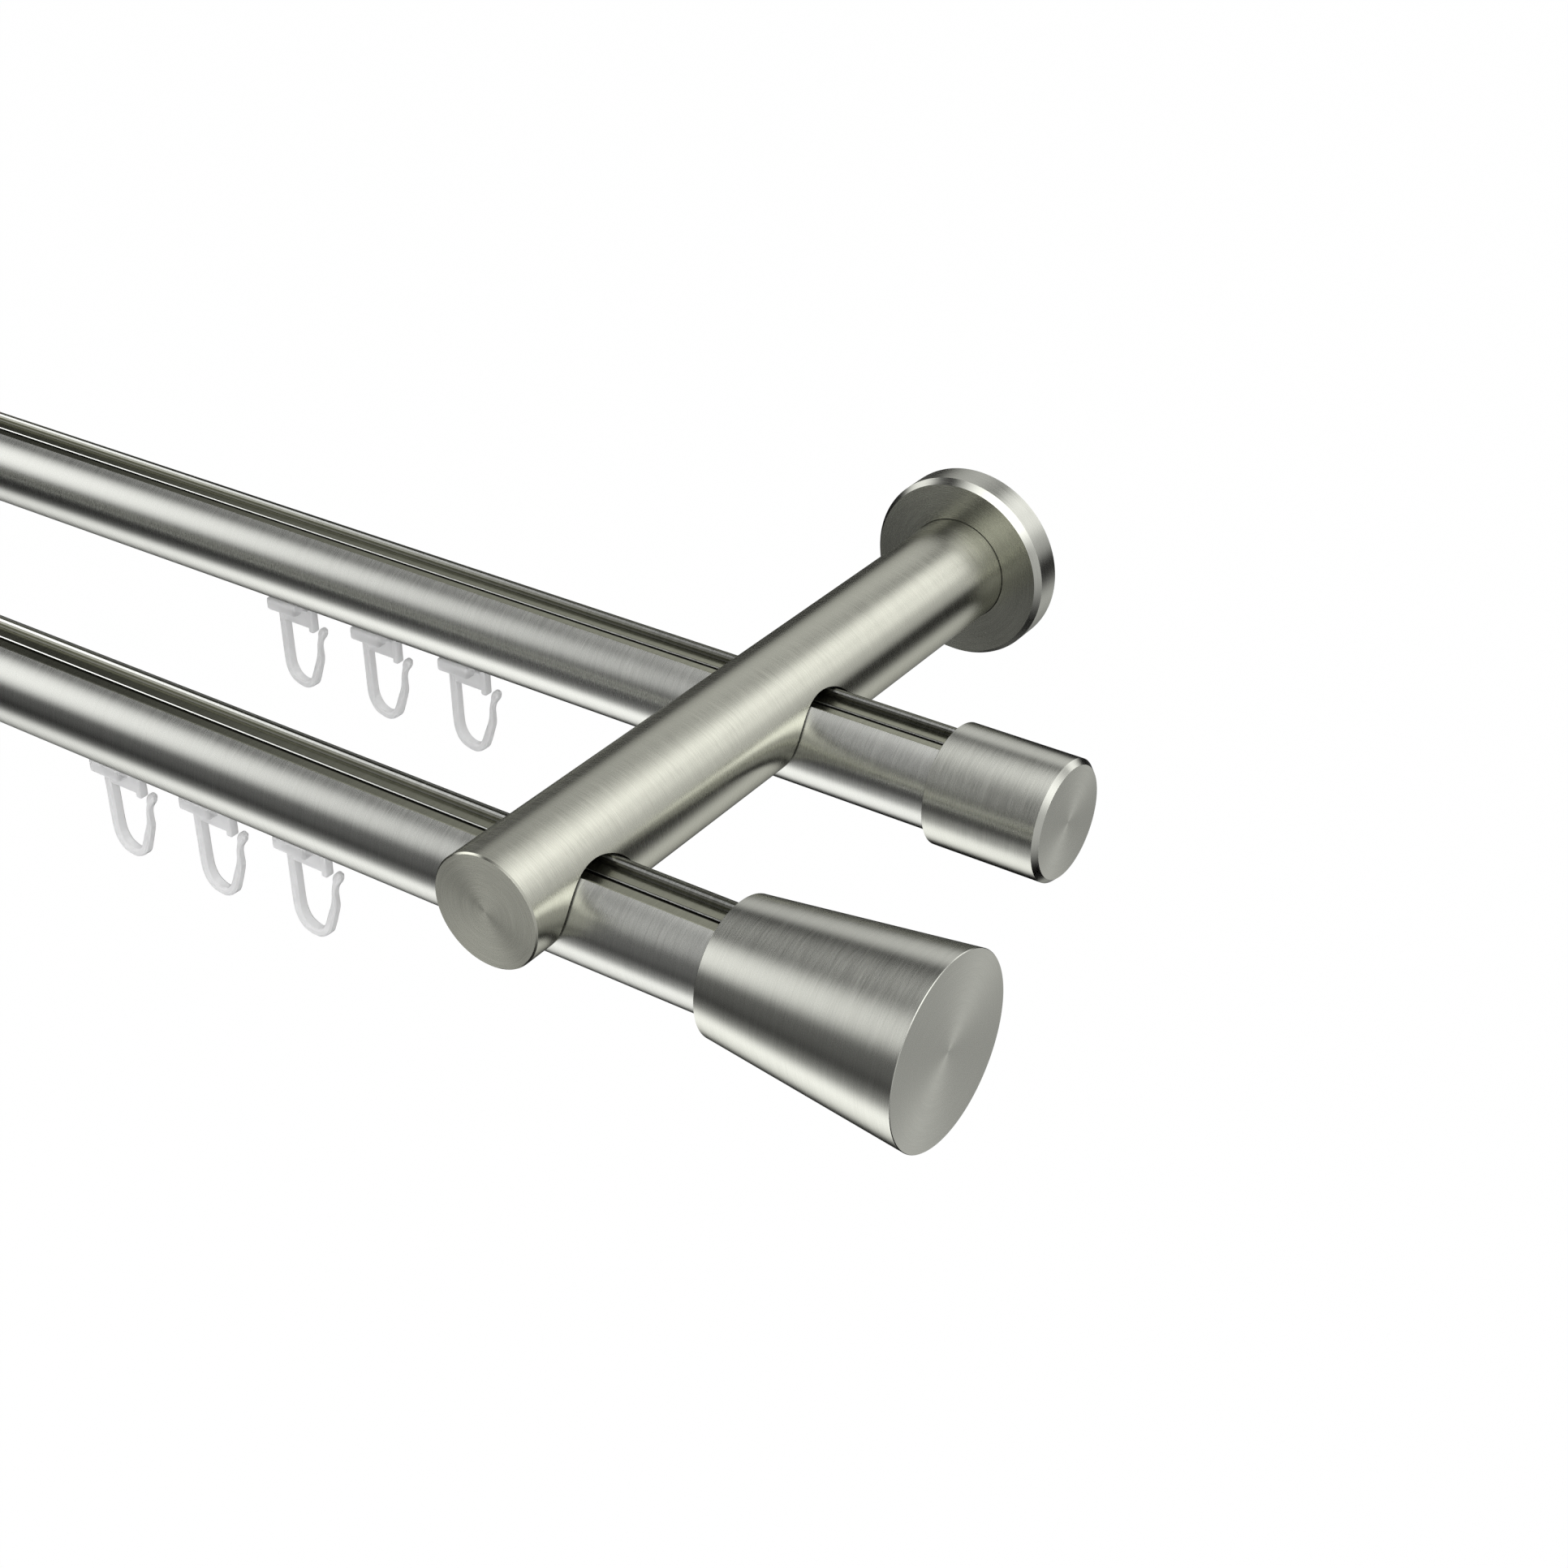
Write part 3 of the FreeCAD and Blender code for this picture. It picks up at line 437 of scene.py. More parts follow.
def brushing_group():
    """Fine lines left by turning or brushing: they follow one coordinate and drift over the rest."""
    group = bpy.data.node_groups.get("brushed lines")
    if group:
        return group
    group = bpy.data.node_groups.new("brushed lines", "ShaderNodeTree")
    for name, kind in (("Along", "NodeSocketFloat"), ("Place", "NodeSocketVector"),
                       ("Spacing", "NodeSocketFloat"), ("Contrast", "NodeSocketFloat"),
                       ("Roughness", "NodeSocketFloat"), ("Colour", "NodeSocketColor")):
        group.interface.new_socket(name=name, in_out="INPUT", socket_type=kind)
    for name, kind in (("Colour", "NodeSocketColor"), ("Roughness", "NodeSocketFloat"),
                       ("Height", "NodeSocketFloat")):
        group.interface.new_socket(name=name, in_out="OUTPUT", socket_type=kind)
    given = group.nodes.new("NodeGroupInput")
    result = group.nodes.new("NodeGroupOutput")
    layers = []
    for scale, drift in BRUSH_LAYERS:
        place = group.nodes.new("ShaderNodeVectorMath")
        place.operation = "SCALE"
        place.inputs["Scale"].default_value = drift
        link(group, given.outputs["Place"], place.inputs[0])
        step = value_math(group, "DIVIDE", given.outputs["Along"], given.outputs["Spacing"])
        noise = group.nodes.new("ShaderNodeTexNoise")
        noise.noise_dimensions = "4D"
        noise.inputs["Scale"].default_value = 1.0
        noise.inputs["Detail"].default_value = 2.0
        noise.inputs["Roughness"].default_value = 0.65
        link(group, place.outputs[0], noise.inputs["Vector"])
        link(group, value_math(group, "MULTIPLY", step, scale), noise.inputs["W"])
        layers.append(value_math(group, "SUBTRACT", noise.outputs["Fac"], 0.5))
    blend = value_math(group, "ADD", layers[0], value_math(group, "MULTIPLY", layers[1], COARSE_SHARE))
    tone = value_math(group, "ADD", 1.0, value_math(group, "MULTIPLY", blend, given.outputs["Contrast"]))
    shade = group.nodes.new("ShaderNodeVectorMath")
    shade.operation = "SCALE"
    link(group, given.outputs["Colour"], shade.inputs[0])
    link(group, tone, shade.inputs["Scale"])
    link(group, shade.outputs[0], result.inputs["Colour"])
    rough = value_math(group, "MULTIPLY", blend, ROUGHNESS_SPREAD)
    link(group, value_math(group, "ADD", given.outputs["Roughness"], rough), result.inputs["Roughness"])
    link(group, value_math(group, "ADD", blend, 0.5), result.inputs["Height"])
    return group


def brushed_metal(name, colour, spacing, roughness=0.27, anisotropy=0.7, contrast=0.3, relief=0.06):
    """Metal with fine lines round the piece and a sheen stretched along it."""
    material = bpy.data.materials.new(name)
    material.use_nodes = True
    tree = material.node_tree
    shader = tree.nodes["Principled BSDF"]
    shader.inputs["Metallic"].default_value = 1.0
    shader.inputs["Anisotropic"].default_value = anisotropy
    shader.inputs["Specular Tint"].default_value = (0.25, 0.25, 0.25, 1.0)
    unwrapped = tree.nodes.new("ShaderNodeUVMap")
    unwrapped.uv_map = "turning"
    parts = tree.nodes.new("ShaderNodeSeparateXYZ")
    link(tree, unwrapped.outputs["UV"], parts.inputs[0])
    place = tree.nodes.new("ShaderNodeTexCoord")
    lines = tree.nodes.new("ShaderNodeGroup")
    lines.node_tree = brushing_group()
    link(tree, parts.outputs["X"], lines.inputs["Along"])
    link(tree, place.outputs["Object"], lines.inputs["Place"])
    lines.inputs["Spacing"].default_value = spacing
    lines.inputs["Contrast"].default_value = contrast
    lines.inputs["Roughness"].default_value = roughness
    lines.inputs["Colour"].default_value = (*colour, 1.0)
    link(tree, lines.outputs["Colour"], shader.inputs["Base Color"])
    link(tree, lines.outputs["Roughness"], shader.inputs["Roughness"])
    bump = tree.nodes.new("ShaderNodeBump")
    bump.inputs["Strength"].default_value = relief
    bump.inputs["Distance"].default_value = spacing * LINE_DEPTH
    link(tree, lines.outputs["Height"], bump.inputs["Height"])
    link(tree, bump.outputs["Normal"], shader.inputs["Normal"])
    tangent = tree.nodes.new("ShaderNodeTangent")
    tangent.direction_type = "UV_MAP"
    tangent.uv_map = "turning"
    link(tree, tangent.outputs["Tangent"], shader.inputs["Tangent"])
    return material


# Share of the light that one skin of the milky plastic holds back, seen straight on
PLASTIC_COVER = 0.5
# Darkest tone of the plastic's cloudiness and of the screws' grain, as shares of their colours
CLOUD_SHADE, GRAIN_SHADE = 0.95, 0.8
GRAIN_ROUGHNESS = 0.1


def milky_plastic(name, colour):
    """Soft translucent plastic with a faint cloudiness."""
    material = bpy.data.materials.new(name)
    material.use_nodes = True
    tree = material.node_tree
    shader = tree.nodes["Principled BSDF"]
    shader.inputs["Roughness"].default_value = 0.26
    shader.inputs["IOR"].default_value = 1.48
    shader.inputs["Subsurface Weight"].default_value = 0.5
    shader.inputs["Subsurface Radius"].default_value = (1.0, 1.0, 1.0)
    shader.inputs["Subsurface Scale"].default_value = 0.0008
    rim = tree.nodes.new("ShaderNodeLayerWeight")
    rim.inputs["Blend"].default_value = 0.4
    cover = value_math(tree, "MULTIPLY", rim.outputs["Facing"], 1.0 - PLASTIC_COVER)
    link(tree, value_math(tree, "ADD", PLASTIC_COVER, cover), shader.inputs["Alpha"])
    place = tree.nodes.new("ShaderNodeTexCoord")
    cloud = tree.nodes.new("ShaderNodeTexNoise")
    cloud.inputs["Scale"].default_value = 260.0
    cloud.inputs["Detail"].default_value = 3.0
    link(tree, place.outputs["Object"], cloud.inputs["Vector"])
    ramp = tree.nodes.new("ShaderNodeValToRGB")
    ramp.color_ramp.elements[0].position = 0.3
    ramp.color_ramp.elements[0].color = (*[part * CLOUD_SHADE for part in colour], 1.0)
    ramp.color_ramp.elements[1].position = 0.7
    ramp.color_ramp.elements[1].color = (*colour, 1.0)
    link(tree, cloud.outputs["Fac"], ramp.inputs["Fac"])
    link(tree, ramp.outputs["Color"], shader.inputs["Base Color"])
    return material


def plain_metal(name, colour, roughness):
    """Machined metal with a fine grain, for small screws."""
    material = bpy.data.materials.new(name)
    material.use_nodes = True
    tree = material.node_tree
    shader = tree.nodes["Principled BSDF"]
    shader.inputs["Metallic"].default_value = 1.0
    place = tree.nodes.new("ShaderNodeTexCoord")
    grain = tree.nodes.new("ShaderNodeTexNoise")
    grain.inputs["Scale"].default_value = 900.0
    link(tree, place.outputs["Object"], grain.inputs["Vector"])
    ramp = tree.nodes.new("ShaderNodeValToRGB")
    ramp.color_ramp.elements[0].color = (*[part * GRAIN_SHADE for part in colour], 1.0)
    ramp.color_ramp.elements[1].color = (*colour, 1.0)
    link(tree, grain.outputs["Fac"], ramp.inputs["Fac"])
    link(tree, ramp.outputs["Color"], shader.inputs["Base Color"])
    rough = value_math(tree, "MULTIPLY", grain.outputs["Fac"], GRAIN_ROUGHNESS)
    link(tree, value_math(tree, "ADD", roughness - GRAIN_ROUGHNESS / 2, rough), shader.inputs["Roughness"])
    return material


def finish(name):
    """A material of this part, made the first time that it is asked for."""
    material = bpy.data.materials.get(name)
    if material:
        return material
    colours = bpy.context.scene.pole_finish
    # The discs' front material is painted shade, a darker copy of the fitting metal; the groove's materials
    # are painted shade, except its edge material, a painted highlight
    turned = {"turned fitting": colours.fitting, "turned arm": colours.arm, "disc face painted shade": colours.disc}
    grooved = {"groove painted shade": colours.groove, "groove corner painted shade": colours.corner, "groove edge painted highlight": colours.edge,
               "groove wall painted shade": colours.wall}
    if name == "brushed pole":
        return brushed_metal(name, colours.metal, colours.line_spacing)
    if name in turned:
        return brushed_metal(name, turned[name], colours.line_spacing * FITTING_SPACING)
    if name in grooved:
        return brushed_metal(name, grooved[name], colours.line_spacing, roughness=0.22, anisotropy=0.5,
                             contrast=0.5)
    if name == "set screw":
        return plain_metal(name, colours.screw, 0.35)
    return milky_plastic(name, colours.plastic)


# Pieces, one operator for each group


class CURTAINPOLE_OT_poles(bpy.types.Operator):
    """Extrude both slotted poles and wear them in place of the plain ones"""
    bl_idname = "curtain_pole.poles"
    bl_label = "Poles"

    def execute(self, context):
        sizes = context.scene.pole_sizes
        for where in POLES:
            node = f"{where}_pole"
            low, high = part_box(node)
            mesh = pole_mesh(f"{node}_skin", sizes, low[0], high[0])
            mesh.transform(Matrix.Translation(pole_axis(where)))
            # The groove's four materials are painted shade, except the edge material, a painted highlight
            piece = finish_piece(f"{node}_skin", mesh, ROOT, finish("brushed pole"), finish("groove painted shade"),
                                 finish("groove corner painted shade"), finish("groove edge painted highlight"), finish("groove wall painted shade"))
            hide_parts(node)
        return {"FINISHED"}


class CURTAINPOLE_OT_arms(bpy.types.Operator):
    """Turn both bracket arms and cut their saddles and screw holes"""
    bl_idname = "curtain_pole.arms"
    bl_label = "Bracket arms"

    def execute(self, context):
        sizes = context.scene.bracket_sizes
        ends = context.scene.end_sizes
        for side in SIDES:
            node = f"{side}_arm"
            low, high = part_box(node)
            radius, length = (high[0] - low[0]) / 2, high[1] - low[1]
            root = Vector((cad_centre(node).x, high[1], cad_centre(node).z))
            soft = sizes.arm_edge
            profile = [(length, 0), (length, radius - soft), (length - soft, radius),
                       (ends.sharp_edge, radius), (0, radius - ends.sharp_edge), (0, sizes.thread_radius),
                       (sizes.thread_depth, sizes.thread_radius), (sizes.thread_depth, 0)]
            blank = turned_mesh(f"{node}_skin", profile, sizes.steps)
            stand(blank, root, (0, -1))
            cutters, axes = [], [(root, Vector((0, -1, 0)), None)]
            for where in POLES:
                axis = Vector((root.x, pole_axis(where).y, pole_axis(where).z))
                cutters.append(rod(axis - Vector((SADDLE_REACH, 0, 0)), (1, 0, 0), sizes.saddle_radius,
                                   2 * SADDLE_REACH, sizes.steps))
                axes.insert(0, (axis, Vector((1, 0, 0)), sizes.saddle_radius * SADDLE_SEARCH))
                slope = Vector((0, math.cos(sizes.screw_slope), -math.sin(sizes.screw_slope)))
                cutters.append(rod(axis + slope * POLE_RADIUS, slope, ends.screw_hole_radius,
                                   sizes.clamp_hole_depth))
                axes.insert(0, (axis, slope, ends.screw_hole_radius * HOLE_SEARCH))
            mesh = combine(blank, cutters, "DIFFERENCE")
            mesh.name = f"{node}_skin"
            round_off(mesh, axes)
            piece = finish_piece(f"{node}_skin", mesh, ROOT, finish("turned arm"))
            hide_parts(node)
        return {"FINISHED"}


class CURTAINPOLE_OT_flanges(bpy.types.Operator):
    """Turn both wall discs with their bevelled fronts and hollow backs"""
    bl_idname = "curtain_pole.flanges"
    bl_label = "Wall discs"

    def execute(self, context):
        sizes = context.scene.bracket_sizes
        ends = context.scene.end_sizes
        for side in SIDES:
            node = f"{side}_wall_flange"
            low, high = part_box(node)
            radius, thick = (high[0] - low[0]) / 2, high[1] - low[1]
            arm = cad_size(f"{side}_arm").x / 2
            bore = arm + sizes.flange_clearance
            root = Vector((cad_centre(node).x, high[1], cad_centre(node).z))
            profile = [(thick, bore), (thick, radius - sizes.flange_bevel_width),
                       (thick - sizes.flange_bevel_depth, radius), (ends.sharp_edge, radius),
                       (0, radius - ends.sharp_edge), (0, sizes.flange_recess_radius),
                       (sizes.flange_recess_depth, sizes.flange_recess_radius),
                       (sizes.flange_recess_depth, bore)]
            blank = turned_mesh(f"{node}_skin", profile, sizes.steps)
            stand(blank, root, (0, -1))
            screw = cad_centre(f"{side}_flange_screw")
            down = Vector((0, 0, -1))
            start = Vector((screw.x, screw.y, root.z))
            hole = rod(start, down, ends.screw_hole_radius, radius + HOLE_REACH)
            mesh = combine(blank, [hole], "DIFFERENCE")
            mesh.name = f"{node}_skin"
            round_off(mesh, [(start, down, ends.screw_hole_radius * HOLE_SEARCH),
                             (root, Vector((0, -1, 0)), None)])
            # Faces that look straight out of the wall disc's front take the discs' front material: painted
            # shade, a darker copy of the fitting metal
            for face in mesh.polygons:
                face.material_index = int(face.normal.y < -FACING)
            piece = finish_piece(f"{node}_skin", mesh, ROOT, finish("turned fitting"), finish("disc face painted shade"))
            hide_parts(node)
        return {"FINISHED"}


class CURTAINPOLE_OT_ends(bpy.types.Operator):
    """Turn the conical finials and the plain caps"""
    bl_idname = "curtain_pole.ends"
    bl_label = "Finials and caps"

    def execute(self, context):
        sizes = context.scene.end_sizes
        steps = context.scene.bracket_sizes.steps
        bore, soft = POLE_RADIUS + sizes.socket_clearance, sizes.sharp_edge
        for side in SIDES:
            facing = 1 if side == "right" else -1
            for where, kind in (("front", "finial"), ("rear", "cap")):
                node = f"{side}_{where}_{kind}"
                low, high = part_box(node)
                length, radius = high[0] - low[0], (high[1] - low[1]) / 2
                begin = Vector((low[0] if facing > 0 else high[0], cad_centre(node).y, cad_centre(node).z))
                small = sizes.finial_small_radius if kind == "finial" else radius
                bevel = sizes.cap_bevel if kind == "cap" else soft
                slope = (radius - small) / length
                profile = [(length, 0), (length, radius - bevel), (length - bevel, radius - bevel * slope),
                           (soft, small + soft * slope), (0, small - soft), (0, bore),
                           (sizes.socket_depth, bore), (sizes.socket_depth, 0)]
                blank = turned_mesh(f"{node}_skin", profile, steps)
                stand(blank, begin, (facing, 0))
                down = Vector((0, math.sqrt(0.5), -math.sqrt(0.5)))
                start = begin + Vector((facing * sizes.screw_place, 0, 0))
                hole = rod(start, down, sizes.screw_hole_radius, radius + HOLE_REACH)
                mesh = combine(blank, [hole], "DIFFERENCE")
                mesh.name = f"{node}_skin"
                round_off(mesh, [(start, down, sizes.screw_hole_radius * HOLE_SEARCH),
                                 (begin, Vector((facing, 0, 0)), None)])
                piece = finish_piece(f"{node}_skin", mesh, ROOT, finish("turned fitting"))
                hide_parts(node)
        return {"FINISHED"}


class CURTAINPOLE_OT_screws(bpy.types.Operator):
    """Give the set screws their machined finish"""
    bl_idname = "curtain_pole.screws"
    bl_label = "Set screws"

    def execute(self, context):
        for name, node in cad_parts.items():
            if name.endswith("_screw"):
                for slot in node.material_slots:
                    slot.material = finish("set screw")
        return {"FINISHED"}


# The hook's centre line in millimetres: along the pole, height from the pole's axis, thickness, depth
HOOK_STATIONS = (
    (0.90, -14.6, 1.80, 2.50), (0.97, -21.5, 1.84, 2.50), (1.02, -26.0, 1.84, 2.50),
    (1.35, -28.6, 1.80, 2.50), (2.45, -30.6, 1.74, 2.50), (4.3, -31.6, 1.66, 2.46),
    (6.25, -31.65, 1.64, 2.40), (7.95, -30.65, 1.64, 2.25), (8.85, -29.0, 1.62, 2.05),
    (9.8, -26.5, 1.55, 1.95), (10.68, -24.05, 1.34, 1.85), (10.9, -22.2, 0.98, 1.62),
    (11.0, -20.7, 0.86, 1.50), (11.32, -19.4, 0.92, 1.50), (11.72, -18.4, 1.22, 1.62),
    (12.05, -17.65, 1.66, 1.84), (12.45, -16.8, 1.78, 1.88), (12.78, -16.1, 1.36, 1.50),
    (12.92, -15.8, 0.70, 0.80),
)
STEPS_BETWEEN_STATIONS = 4


def smooth_rows(rows, steps):
    """Rows on the smooth curve through the given ones."""
    rows = [Vector(row) for row in rows]
    last = len(rows) - 1
    result = []
    for index in range(last):
        before, start, end, after = (rows[max(0, min(last, index + shift))] for shift in (-1, 0, 1, 2))
        for step in range(steps):
            t = step / steps
            result.append(start + ((end - before) * t + (before * 2 - start * 5 + end * 4 - after) * t ** 2
                                   + (start * 3 - end * 3 + after - before) * t ** 3) / 2)
    return result + [rows[-1]]


def block(along, width, height, edge, corner=0.0):
    """A box with rounded edges, and rounder upright ones where a corner radius is given."""
    low, high = (Vector((along[end], width * (end - 0.5), height[end])) for end in (0, 1))
    bm = bmesh.new()
    bmesh.ops.create_cube(bm, size=1.0, matrix=Matrix.Translation((low + high) / 2)
                          @ Matrix.Diagonal((*(high - low), 1.0)))
    if corner:
        upright = [item for item in bm.edges if abs(item.verts[0].co.z - item.verts[1].co.z) > edge]
        bmesh.ops.bevel(bm, geom=upright, offset=corner, segments=6, profile=0.5, affect="EDGES",
                        material=-1)
    caps = [face for face in bm.faces if abs(face.normal.z) > FACING] if corner else bm.faces
    edges = list({item for face in caps for item in face.edges})
    bmesh.ops.bevel(bm, geom=edges, offset=edge, segments=3, profile=0.5, affect="EDGES", material=-1)
    return to_mesh(bm, "block")


def hook_mesh(edge):
    """Extrude a chamfered section straight, one step for each station, then lay it along the hook."""
    rows = smooth_rows(HOOK_STATIONS, STEPS_BETWEEN_STATIONS)
    bm = bmesh.new()
    bmesh.ops.create_circle(bm, cap_ends=True, segments=8, radius=1.0,
                            matrix=Matrix.Rotation(math.pi / 8, 4, "Z"))
    bm.faces.ensure_lookup_table()
    face = bm.faces[0]
    for step in range(1, len(rows)):
        grown = bmesh.ops.extrude_face_region(bm, geom=[face])["geom"]
        if step > 1:
            bmesh.ops.delete(bm, geom=[face], context="FACES_ONLY")
        face = next(item for item in grown if isinstance(item, bmesh.types.BMFace))
        bmesh.ops.translate(bm, verts=face.verts, vec=(0, 0, 1))
    for vert in bm.verts:
        step = round(vert.co.z)
        along, height, thick, deep = rows[step]
        nearby = rows[min(step + 1, len(rows) - 1)] - rows[max(step - 1, 0)]
        across = Vector((-nearby[1], 0, nearby[0])).normalized()
        cut = edge / MM * thick / rows[0][2]
        level = thick / 2 - (0 if abs(vert.co.x) > abs(vert.co.y) else cut)
        side = deep / 2 - (cut if abs(vert.co.x) > abs(vert.co.y) else 0)
        spot = (Vector((along, 0, height)) + across * math.copysign(level, vert.co.x)
                + Vector((0, math.copysign(side, vert.co.y), 0)))
        vert.co = spot * MM
    bmesh.ops.recalc_face_normals(bm, faces=bm.faces)
    return to_mesh(bm, "hook")


def glider_mesh(sizes):
    """One glider about its own axis: plate, bar, stop, neck, head and hook, joined into one skin."""
    pole = -POLE_RADIUS
    top = pole - sizes.plate_gap
    under = top - sizes.plate_thickness
    back = -sizes.back_reach
    blocks = [block((back, back + sizes.plate_length), sizes.plate_width, (under, top), sizes.plate_edge,
                    sizes.plate_corner),
              block((sizes.bar_start, sizes.bar_length), sizes.bar_width,
                    (under - sizes.bar_drop, under + sizes.overlap), sizes.bar_edge),
              block((sizes.stop_start, sizes.stop_end), sizes.stop_width,
                    (under - sizes.stop_drop, top - sizes.stop_lower), sizes.stop_edge),
              block((sizes.neck_start, sizes.neck_start + sizes.neck_length), sizes.neck_width,
                    (top - sizes.overlap, pole + sizes.neck_top), sizes.bar_edge),
              block((back, back + sizes.head_length), sizes.head_width,
                    (pole + sizes.head_bottom, pole + sizes.head_top), sizes.head_edge)]
    body = combine(hook_mesh(sizes.hook_edge), blocks, "UNION")
    for face in body.polygons:
        face.use_smooth = True
    return body


class CURTAINPOLE_OT_gliders(bpy.types.Operator):
    """Mould the hook gliders and hang each on its own place"""
    bl_idname = "curtain_pole.gliders"
    bl_label = "Gliders"

    def execute(self, context):
        sizes = context.scene.glider_sizes
        pattern = glider_mesh(sizes)
        for where in POLES:
            axis = pole_axis(where)
            for number in GLIDERS:
                node = f"{where}_glider_{number}"
                low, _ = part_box(node)
                mesh = pattern.copy()
                mesh.transform(Matrix.Translation((low[0] + sizes.hook_place, axis.y, axis.z)))
                piece = finish_piece(f"{node}_skin", mesh, node, finish("milky plastic"))
                shaper = piece.modifiers.new("soft edges", "BEVEL")
                shaper.width = sizes.soft_edge
                shaper.segments = 2
                shaper.limit_method = "ANGLE"
                shaper.angle_limit = math.radians(30)
                shaper.harden_normals = True
                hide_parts(node)
        return {"FINISHED"}


# Soft studio panels round the part: azimuth from the front and elevation of the middle and half width,
# in degrees, and strength
PANELS = {
    "overhead": (85, 70, 58, 2.3),
    "left": (-63, 22, 26, 2.2),
    "left rear": (-105, 21, 20, 1.8),
    "rear left": (-153, 24, 25, 1.0),
    "rear": (163, 22, 23, 1.7),
    "rear right": (138, 12, 22, 0.85),
    "low left": (-76, -55, 30, 2.1),
    "low front": (0, -43, 22, 0.8),
    "low front left": (-40, -42, 24, 0.3),
    "front": (-28, 4, 35, 0.17),
    "right fill": (58, 10, 75, 0.7),
}
# The white backdrop as the metal sees it, in the same terms
BACKDROP_PATCH = (171, -42, 29, 1.0)


def light_patch(tree, direction, azimuth, elevation, width, strength):
    """A soft round patch about one direction of the sky."""
    turn, lift = math.radians(azimuth), math.radians(elevation)
    dot = tree.nodes.new("ShaderNodeVectorMath")
    dot.operation = "DOT_PRODUCT"
    dot.inputs[1].default_value = (math.sin(turn) * math.cos(lift), -math.cos(turn) * math.cos(lift),
                                   math.sin(lift))
    link(tree, direction, dot.inputs[0])
    fade = tree.nodes.new("ShaderNodeMapRange")
    fade.interpolation_type = "SMOOTHSTEP"
    fade.inputs["From Min"].default_value = math.cos(math.radians(width))
    fade.inputs["From Max"].default_value = 1.0
    fade.inputs["To Max"].default_value = strength
    link(tree, dot.outputs["Value"], fade.inputs["Value"])
    return fade.outputs["Result"]


def backdrop_rays(tree, patch=None):
    """1 for the rays that see the white backdrop: camera, transmission and, within a patch, glossy ones."""
    ray = tree.nodes.new("ShaderNodeLightPath")
    glossy = ray.outputs["Is Glossy Ray"]
    if patch is not None:
        glossy = value_math(tree, "MULTIPLY", glossy, patch)
    seen = value_math(tree, "MAXIMUM", ray.outputs["Is Camera Ray"], ray.outputs["Is Transmission Ray"])
    return value_math(tree, "MAXIMUM", seen, glossy)


def light_the_world(level):
    """A white backdrop, and soft patches of studio light round the part."""
    world = bpy.data.worlds.new("studio")
    bpy.context.scene.world = world
    world.use_nodes = True
    tree = world.node_tree
    tree.nodes.clear()
    place = tree.nodes.new("ShaderNodeTexCoord").outputs["Generated"]
    backdrop_patch = light_patch(tree, place, *BACKDROP_PATCH)
    total = backdrop_patch
    for *shape, strength in PANELS.values():
        total = value_math(tree, "ADD", total, light_patch(tree, place, *shape, strength * level))
    studio = tree.nodes.new("ShaderNodeBackground")
    link(tree, total, studio.inputs["Strength"])
    backdrop = tree.nodes.new("ShaderNodeBackground")
    backdrop.inputs["Color"].default_value = (1.0, 1.0, 1.0, 1.0)
    mix = tree.nodes.new("ShaderNodeMixShader")
    link(tree, backdrop_rays(tree, backdrop_patch), mix.inputs["Fac"])
    link(tree, studio.outputs[0], mix.inputs[1])
    link(tree, backdrop.outputs[0], mix.inputs[2])
    output = tree.nodes.new("ShaderNodeOutputWorld")
    link(tree, mix.outputs[0], output.inputs["Surface"])


# The large soft lamps that lift the plastic: name, place and power in watts. All face one point
SOFT_LAMPS = (("front lamp", (0.3, -1.3, 0.5), 5.5), ("left lamp", (-1.3, -0.5, 0.1), 4.0),
              ("low lamp", (0.2, -0.7, -0.8), 3.0))
LAMP_AIM = Vector((-0.1, -0.1, -0.02))
# Middle of the floor, along the poles
FLOOR_MIDDLE = -0.4
# Share of the floor's shadow that the white backdrop covers
SHADOW_COVER = 0.98


def floor_material():
    """Pale floor: white to the camera, with a little of the part's shadow left in it."""
    material = bpy.data.materials.new("pale floor")
    material.use_nodes = True
    tree = material.node_tree
    shader = tree.nodes["Principled BSDF"]
    shader.inputs["Base Color"].default_value = (0.9, 0.9, 0.9, 1.0)
    shader.inputs["Roughness"].default_value = 0.9
    glow = tree.nodes.new("ShaderNodeEmission")
    mix = tree.nodes.new("ShaderNodeMixShader")
    link(tree, value_math(tree, "MULTIPLY", backdrop_rays(tree), SHADOW_COVER), mix.inputs["Fac"])
    link(tree, shader.outputs[0], mix.inputs[1])
    link(tree, glow.outputs[0], mix.inputs[2])
    link(tree, mix.outputs[0], tree.nodes["Material Output"].inputs["Surface"])
    return material


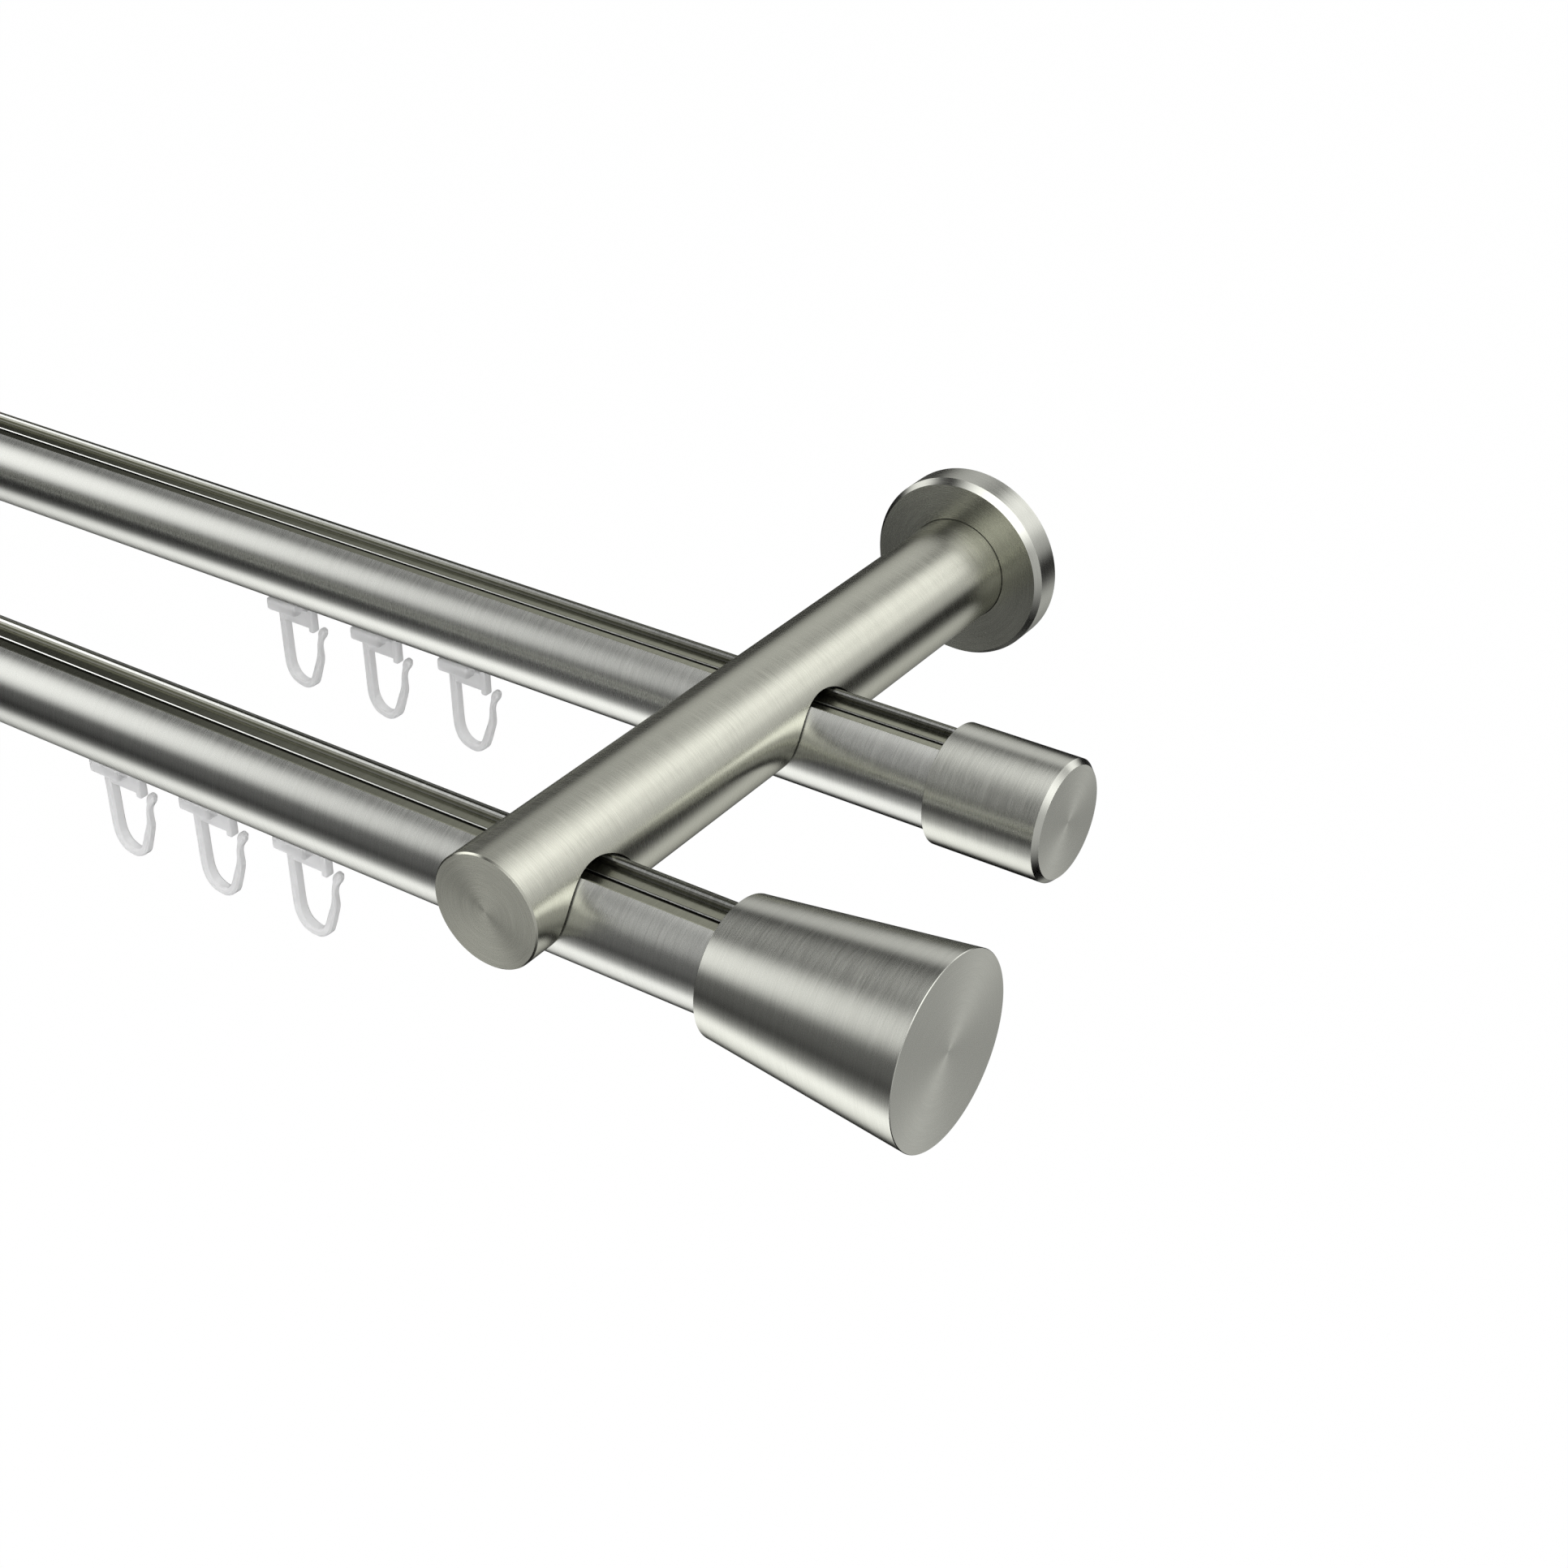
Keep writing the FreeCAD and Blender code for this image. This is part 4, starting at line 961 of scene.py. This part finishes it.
class CURTAINPOLE_OT_stage(bpy.types.Operator):
    """Set up the floor, the studio light and the camera"""
    bl_idname = "curtain_pole.stage"
    bl_label = "Studio"

    def execute(self, context):
        scene = context.scene
        studio = scene.studio_settings
        scene.view_settings.view_transform = "Standard"
        light_the_world(studio.light_level)
        bm = bmesh.new()
        bmesh.ops.create_grid(bm, x_segments=1, y_segments=1, size=studio.floor_reach,
                              matrix=Matrix.Translation((FLOOR_MIDDLE, 0, -studio.floor_drop)))
        mesh = to_mesh(bm, "floor")
        mesh.materials.append(floor_material())
        floor = bpy.data.objects.new("floor", mesh)
        floor.visible_glossy = False
        floor.visible_diffuse = False
        scene.collection.objects.link(floor)
        for name, spot, power in SOFT_LAMPS:
            lamp = bpy.data.lights.new(name, "AREA")
            lamp.shape = "DISK"
            lamp.size = studio.lamp_size
            lamp.energy = power * studio.light_level
            shine = bpy.data.objects.new(name, lamp)
            shine.location = spot
            shine.rotation_euler = (Vector(spot) - LAMP_AIM).to_track_quat("Z", "Y").to_euler()
            shine.visible_glossy = False
            scene.collection.objects.link(shine)
        camera = bpy.data.objects.new("camera", bpy.data.cameras.new("camera"))
        camera.data.sensor_width = 36.0
        camera.data.sensor_fit = "HORIZONTAL"
        camera.data.lens = studio.lens
        camera.data.clip_start = 0.01
        camera.location = studio.camera_place
        camera.rotation_euler = studio.camera_turn
        scene.collection.objects.link(camera)
        scene.camera = camera
        return {"FINISHED"}


OPERATORS = (CURTAINPOLE_OT_poles, CURTAINPOLE_OT_arms, CURTAINPOLE_OT_flanges, CURTAINPOLE_OT_ends,
             CURTAINPOLE_OT_screws, CURTAINPOLE_OT_gliders, CURTAINPOLE_OT_stage)
GROUPS = (("pole_sizes", PoleSizes), ("bracket_sizes", BracketSizes), ("end_sizes", EndSizes),
          ("glider_sizes", GliderSizes), ("pole_finish", FinishAndPaintedLightColours),
          ("studio_settings", StudioSettings))


class CURTAINPOLE_PT_panel(bpy.types.Panel):
    """Build steps of the double curtain pole"""
    bl_label = "Double Curtain Pole"
    bl_space_type = "VIEW_3D"
    bl_region_type = "UI"
    bl_category = "Curtain Pole"

    def draw(self, context):
        for operator in OPERATORS:
            self.layout.operator(operator.bl_idname)
        for name, group in GROUPS:
            box = self.layout.box()
            for key in group.__annotations__:
                box.prop(getattr(context.scene, name), key)


def register():
    for _, group in GROUPS:
        bpy.utils.register_class(group)
    for name, group in GROUPS:
        setattr(bpy.types.Scene, name, bpy.props.PointerProperty(type=group))
    for operator in OPERATORS:
        bpy.utils.register_class(operator)
    bpy.utils.register_class(CURTAINPOLE_PT_panel)


def unregister():
    bpy.utils.unregister_class(CURTAINPOLE_PT_panel)
    for operator in reversed(OPERATORS):
        bpy.utils.unregister_class(operator)
    for name, group in reversed(GROUPS):
        delattr(bpy.types.Scene, name)
        bpy.utils.unregister_class(group)


def main():
    register()
    for step in ("poles", "arms", "flanges", "ends", "screws", "gliders", "stage"):
        getattr(bpy.ops.curtain_pole, step)()


if __name__ == "__main__":
    main()
